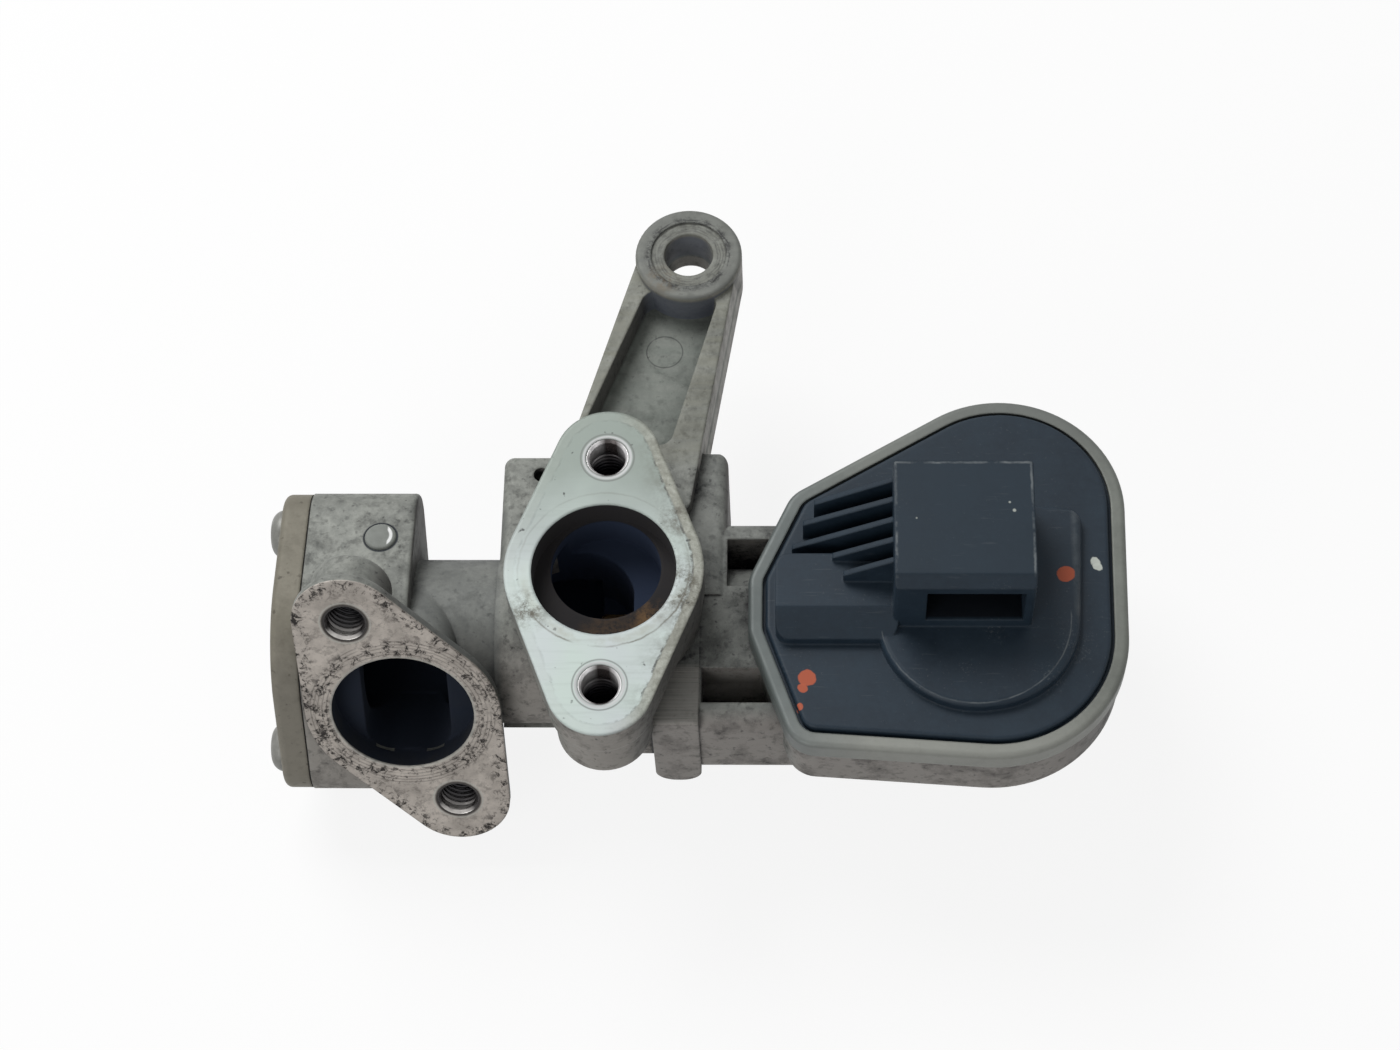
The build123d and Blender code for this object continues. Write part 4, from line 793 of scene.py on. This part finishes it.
def plugColour(tree, colour):  # a painted highlight: a bright crescent on the dome's lower right rim
    plan = plugPlan
    plugX, plugY = plugPoint(tree)[:2]
    highlightCrescent = bandNode(tree, distanceTo(tree, plugX, plugY, plan["centre"]), *plan["highlightCrescent"], lineSoft)
    highlightCrescent = times(tree, highlightCrescent, rampNode(tree, plugX, *plan["right"]))
    return mixNode(tree, highlightCrescent, colour, plan["bareAndGlint"])


def plainMetal(name):
    first, second, metal, rough, bump, edgeR = plainFinish[name]
    plan = plainPlan
    finish, tree, shader = newFinish(name)
    skin = addEffect(tree, "castSkin", Grain=plan["grain"])
    sootAndShade = addSootAndShade(tree, plan, plan["sootAndShadeReach"])
    colour = mixNode(tree, skin["Tone"], second, first)
    if name == "ringSteel":
        colour = ringColour(tree, colour)
    if name == "plugSteel":
        colour = plugColour(tree, colour)
    colour = mixNode(tree, sootAndShade["Mask"], colour, plan["sootAndShade"])
    tree.links.new(colour, shader.inputs["Base Color"])
    tree.links.new(mixValue(tree, skin["Tone"], rough + 0.1, rough - 0.04), shader.inputs["Roughness"])
    shader.inputs["Metallic"].default_value = metal
    roundedNormal(tree, shader, skin["Height"], bump, plan["bumpDepth"], edgeR)
    return finish


finishes.update({name: plainMetal(name) for name in plainFinish})

mouldedPlan = {
    # the top tone is a painted shade for the hood's top face
    "colour": (0.0100, 0.0185, 0.0295), "second": (0.0195, 0.0335, 0.0490), "top": (0.0085, 0.0190, 0.0300),
    # black is a painted shade for the inside of the hood's mouth
    "dust": (0.20, 0.22, 0.23), "scuffAndHighlight": (0.17, 0.19, 0.20), "black": (0.003, 0.0045, 0.007),
    "paint": (0.46, 0.105, 0.050), "chalk": (0.62, 0.66, 0.60), "specular": 0.22,
    "hood": {"left": 0.0536, "right": 0.0794, "back": 0.0180}, "hoodTopShadeLevel": (0.0084, 0.0087),
    "hoodTop": (0.0081, 0.0084), "edgeBand": (0.0002, 0.0006),
    "bump": 0.12, "bumpDepth": 0.0001, "edgeR": 0.0006,
    "mouthX": (0.0597, 0.0775), "mouthY": (-0.0072, -0.0066), "mouthZ": (-0.0064, 0.0049),
    "dome": (0.0690, -0.0053, 0.0178), "domeStart": (-0.0040, -0.0055), "flatLevel": (-0.0098, -0.0080),
    "side": (0.0876, 0.0888), "sideFront": (-0.0070, -0.0040), "sideBack": (0.0180, 0.0165),
    "paintDots": [
        (0.0862, 0.0034, 0.0018), (0.0377, -0.0170, 0.0018),
        (0.0369, -0.0190, 0.0010), (0.0363, -0.0228, 0.0007),
    ],
    "chalkDots": [(0.0922, 0.0074, 0.0009), (0.0924, 0.0062, 0.0008)],
    "chips": [(0.0748, 0.0093, 0.00025), (0.0756, 0.0076, 0.00035), (0.0577, 0.0060, 0.0002)],
    "dustSpots": [
        (0.0727, -0.0087, 0.0030), (0.0673, -0.0159, 0.0022),
        (0.0823, -0.0179, 0.0040), (0.0872, -0.0104, 0.0050),
    ],
    "chipR": 0.0006, "dotSoft": 0.0002,
}


def wearAndHighlightLines(tree, point):  # mask of broken pale lines along the hood's top edges and the raised area's rim, partly scuffs and partly painted highlights, and a painted highlight along a step at the right
    plan = mouldedPlan
    x, y, z = point
    hood = plan["hood"]
    inset = mathNode(tree, "SUBTRACT", x, hood["left"])
    for far, along in ((hood["right"], x), (hood["back"], y)):
        inset = mathNode(tree, "MINIMUM", inset, mathNode(tree, "SUBTRACT", far, along))
    onTop = rampNode(tree, z, *plan["hoodTop"])
    shake = noiseNode(tree, 700.0, 3.0)
    line = bandNode(tree, waveNode(tree, inset, shake, 0.0004), *plan["edgeBand"], 0.00012)
    broken = patchNode(tree, (210.0, 4.0, 0.6), (0.42, 0.60))
    hoodLine = times(tree, onTop, line, broken)
    onFlat = bandNode(tree, z, *plan["flatLevel"], stepSoft)
    domeX, domeY, domeR = plan["dome"]
    ring = waveNode(tree, distanceTo(tree, x, y, (domeX, domeY)), shake, 0.0002)
    rim = bandNode(tree, ring, domeR - lineSoft, domeR + lineSoft, lineSoft)
    rim = times(tree, onFlat, rim, rampNode(tree, y, *plan["domeStart"]), mixValue(tree, broken, 0.3, 1.0))
    # painted highlight: a pale line along a step near the right side that isn't modelled
    stepHighlight = bandNode(tree, waveNode(tree, x, shake, 0.0004), *plan["side"], 0.0004)
    stepHighlight = times(tree, stepHighlight, rampNode(tree, y, *plan["sideFront"]), rampNode(tree, y, *plan["sideBack"]))
    stepHighlight = times(tree, onFlat, stepHighlight, patchNode(tree, (260.0, 5.0, 0.7), (0.35, 0.70), (0.1, 0.5)))
    return mathNode(tree, "ADD", mathNode(tree, "ADD", hoodLine, rim), stepHighlight, True)


def mouldedPlastic():  # dusty plastic with scratches, scuffed edges partly painted as highlights, painted shade on the hood's top and in its mouth, and dots of paint and chalk
    finish, tree, shader = newFinish("mouldedPlastic")
    plan = mouldedPlan
    skin = addEffect(tree, "castSkin", Grain=2600.0)
    marks = addEffect(tree, "scratches", Density=0.5)
    point = splitPoint(tree, objectPoint(tree))
    x, y, z = point
    colour = mixNode(tree, skin["Tone"], plan["colour"], plan["second"])
    # painted shade: the hood's top face is made darker
    colour = mixNode(tree, rampNode(tree, z, *plan["hoodTopShadeLevel"], 0.0, 0.6), colour, plan["top"])
    colour = mixNode(tree, times(tree, marks["Dust"], 0.22), colour, plan["dust"])
    colour = mixNode(tree, times(tree, marks["Mask"], 0.16), colour, plan["dust"])
    # scuffs and painted highlights along edges
    colour = mixNode(tree, times(tree, wearAndHighlightLines(tree, point), 0.75), colour, plan["scuffAndHighlight"])
    upward = rampNode(tree, faceTurn(tree)[2], 0.3, 0.5)
    specks = patchNode(tree, (1900.0, 4.0, 0.75), (0.55, 0.68))
    for spotX, spotY, radius in plan["dustSpots"]:
        spot = rampNode(tree, distanceTo(tree, x, y, (spotX, spotY)), radius, radius * 0.2)
        colour = mixNode(tree, times(tree, spot, specks, upward, 0.35), colour, plan["dust"])
    # painted shade: the inside of the hood's mouth is made near black
    inside = times(tree, bandNode(tree, x, *plan["mouthX"], lineSoft), rampNode(tree, y, *plan["mouthY"]))
    inside = times(tree, inside, bandNode(tree, z, *plan["mouthZ"], lineSoft))
    colour = mixNode(tree, inside, colour, plan["black"])
    shake = noiseNode(tree, 500.0, 3.0)
    dots = (("paint", "paintDots", 0.0008), ("chalk", "chalkDots", 0.0020), ("chalk", "chips", 0.00064))
    for tone, places, ragged in dots:
        for spotX, spotY, radius in plan[places]:
            away = waveNode(tree, distanceTo(tree, x, y, (spotX, spotY)), shake, ragged)
            spot = times(tree, rampNode(tree, away, radius, radius - plan["dotSoft"]), upward)
            share = 0.92 if radius > plan["chipR"] else 0.6
            colour = mixNode(tree, times(tree, spot, share), colour, plan[tone])
    tree.links.new(colour, shader.inputs["Base Color"])
    tree.links.new(mixValue(tree, skin["Tone"], 0.40, 0.55), shader.inputs["Roughness"])
    shader.inputs["Specular IOR Level"].default_value = plan["specular"]
    roundedNormal(tree, shader, skin["Height"], plan["bump"], plan["bumpDepth"], plan["edgeR"])
    return finish


finishes["mouldedPlastic"] = mouldedPlastic()

finishOf = {
    "valve_body": "bodyCast", "end_cover": "coverCast", "end_cover_gasket": "gasketSheet",
    "end_cover_screws": "screwSteel", "core_plug": "plugSteel", "valve_seat": "hotSteel",
    "poppet": "hotSteel", "valve_stem": "hotSteel", "stem_bush": "bronze", "stem_seal": "rubber",
    "housing_gasket": "gasketSheet",
    "actuator_housing": "housingCast", "housing_screws": "screwSteel", "cover_clamp_ring": "ringSteel",
    "cover_seal": "rubber", "actuator_cover": "mouldedPlastic", "connector_terminals": "brass",
    "drive_gear": "gearPlastic", "idler_gear": "gearPlastic", "motor_pinion": "brass", "motor_can": "steel",
    "motor_end_cap": "darkPlastic", "motor_bushes": "bronze", "motor_magnets": "magnetStone",
    "motor_shaft": "steel", "armature": "steel", "motor_plate": "steel", "motor_screws": "steel",
    "gear_pin": "steel", "idler_pin": "steel", "sensor_magnet": "magnetStone", "sensor_board": "boardGreen",
    "crosshead": "darkPlastic", "roller_pin": "steel", "cam_roller": "steel", "spring_seat": "steel",
    "spring_retainer": "steel", "retainer_clip": "steel", "return_spring": "springSteel",
}


def dress(piece, finish):
    piece.data.materials.clear()
    piece.data.materials.append(finish)


for name, finish in finishOf.items():
    dress(nodes[name], finishes[finish])
print("finishes laid on", len(finishOf), "nodes")


def gridMesh(name, rings):  # rings: rows x columns x 3, closed both along and across
    index = np.arange(rings.shape[0] * rings.shape[1]).reshape(rings.shape[:2])
    under = np.roll(index, -1, 0)
    quads = np.stack([index, np.roll(index, -1, 1), np.roll(under, -1, 1), under], -1).reshape(-1, 4)
    mesh = bpy.data.meshes.new(name)
    mesh.from_pydata(rings.reshape(-1, 3).tolist(), [], quads.tolist())
    mesh.shade_smooth()
    return addObject(name, mesh)


threadPlan = {
    "holeR": 0.00398, "rootR": 0.00394, "crestR": 0.00342, "pitch": 0.00125, "around": 48, "perTurn": 10,
    "mouth": 0.0007, "top": -0.00005,
    "ports": {"outlet": {"depth": 0.0165, "lead": 0.0040}, "inlet": {"depth": 0.0117, "lead": 0.0008}},
    "ends": {"Upper": 1, "Lower": -1},
    # tones, places and depths of the painted shade and painted reflections on the tapped hole walls, and the
    # painted shade at their bottoms
    "inletShadeAndReflection": ((0.050, 0.046, 0.046), (0.72, 0.69, 0.66)),
    "inletBright": {"lean": (-0.5, -0.8), "side": (0.0016, 0.0030), "depth": (-0.0036, -0.0006)},
    "outletShadeAndReflection": ((0.065, 0.055, 0.053), (0.98, 0.97, 0.97)),
    "outletBright": {"middle": 0.0005, "side": (0.0010, 0.0026), "depth": (-0.0080, -0.0016)},
    "bottom": (0.012, 0.012, 0.018), "depthShadeFrom": (-0.0025, -0.0090), "metal": 0.4, "rough": 0.22,
}


def holeMetal(port):  # the walls of the tapped holes, with painted reflections and painted shade that deepens with depth
    plan = threadPlan
    finish, tree, shader = newFinish(port + "ThreadMetal")
    x, y, z = inletPoint(tree) if port == "inlet" else splitPoint(tree, objectPoint(tree))
    centre = times(tree, mathNode(tree, "SIGN", y), flangePlan["earReach"])
    y = mathNode(tree, "SUBTRACT", y, centre)
    ragged = patchNode(tree, (900.0, 3.0), (0.3, 0.7), (0.75, 1.0))
    place = plan[port + "Bright"]
    if port == "inlet":  # a painted reflection as a crescent on the front left of the mouth, painted shade elsewhere
        side = mathNode(tree, "ADD", times(tree, x, place["lean"][0]), times(tree, y, place["lean"][1]))
    else:  # painted reflections to the left and right, painted shade between
        side = mathNode(tree, "ABSOLUTE", mathNode(tree, "SUBTRACT", x, place["middle"]))
    bright = times(tree, rampNode(tree, side, *place["side"]), rampNode(tree, z, *place["depth"]))
    colour = mixNode(tree, times(tree, bright, ragged), *plan[port + "ShadeAndReflection"])
    colour = mixNode(tree, rampNode(tree, z, *plan["depthShadeFrom"]), colour, plan["bottom"])
    tree.links.new(colour, shader.inputs["Base Color"])
    shader.inputs["Metallic"].default_value = plan["metal"]
    shader.inputs["Roughness"].default_value = plan["rough"]
    return finish


# radius = crest + height * flattened saw of (depth / pitch - angle / turn), past a plain lead and a flare
def threadRings(hole, end):
    plan = threadPlan
    crestR = plan["crestR"]
    height = plan["rootR"] - crestR
    angle = np.linspace(0, 2 * np.pi, plan["around"], endpoint=False)
    rows = int(hole["depth"] / plan["pitch"] * plan["perTurn"])
    down = np.linspace(plan["top"], -hole["depth"], rows)
    deep, turned = np.meshgrid(down, angle, indexing="ij")
    saw = np.abs(((deep / plan["pitch"] - turned / (2 * np.pi)) % 1.0) * 2 - 1)
    cut = np.clip((-deep - hole["lead"]) / plan["pitch"], 0, 1)
    radius = crestR + height * cut * (1 - np.clip(1.5 * saw - 0.25, 0, 1))
    flare = np.clip(1 + deep / plan["mouth"], 0, 1)
    radius = np.maximum(radius, crestR + height * flare)

    # the sleeve's outer wall is two plain rings, bottom and top
    radius = np.vstack([radius, np.full((2, plan["around"]), plan["holeR"])])
    deep = np.vstack([deep, np.full((1, plan["around"]), down[-1]), np.full((1, plan["around"]), down[0])])
    turned = np.vstack([turned, turned[:2]])
    centre = flangePlan["earReach"] * threadPlan["ends"][end]
    return np.stack([radius * np.cos(turned), radius * np.sin(turned) + centre, deep], -1)


def makeThreads():
    for port, hole in threadPlan["ports"].items():
        metal = holeMetal(port)
        for end in threadPlan["ends"]:
            rings = threadRings(hole, end)
            if port == "inlet":
                rings = rings @ np.array(inletTurn()).T + np.array(bodyPlan["inletPlace"])
            piece = gridMesh(port + "Thread" + end, rings)
            dress(piece, metal)
            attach(piece, "root")


makeThreads()
print("threads cut in the flanges")
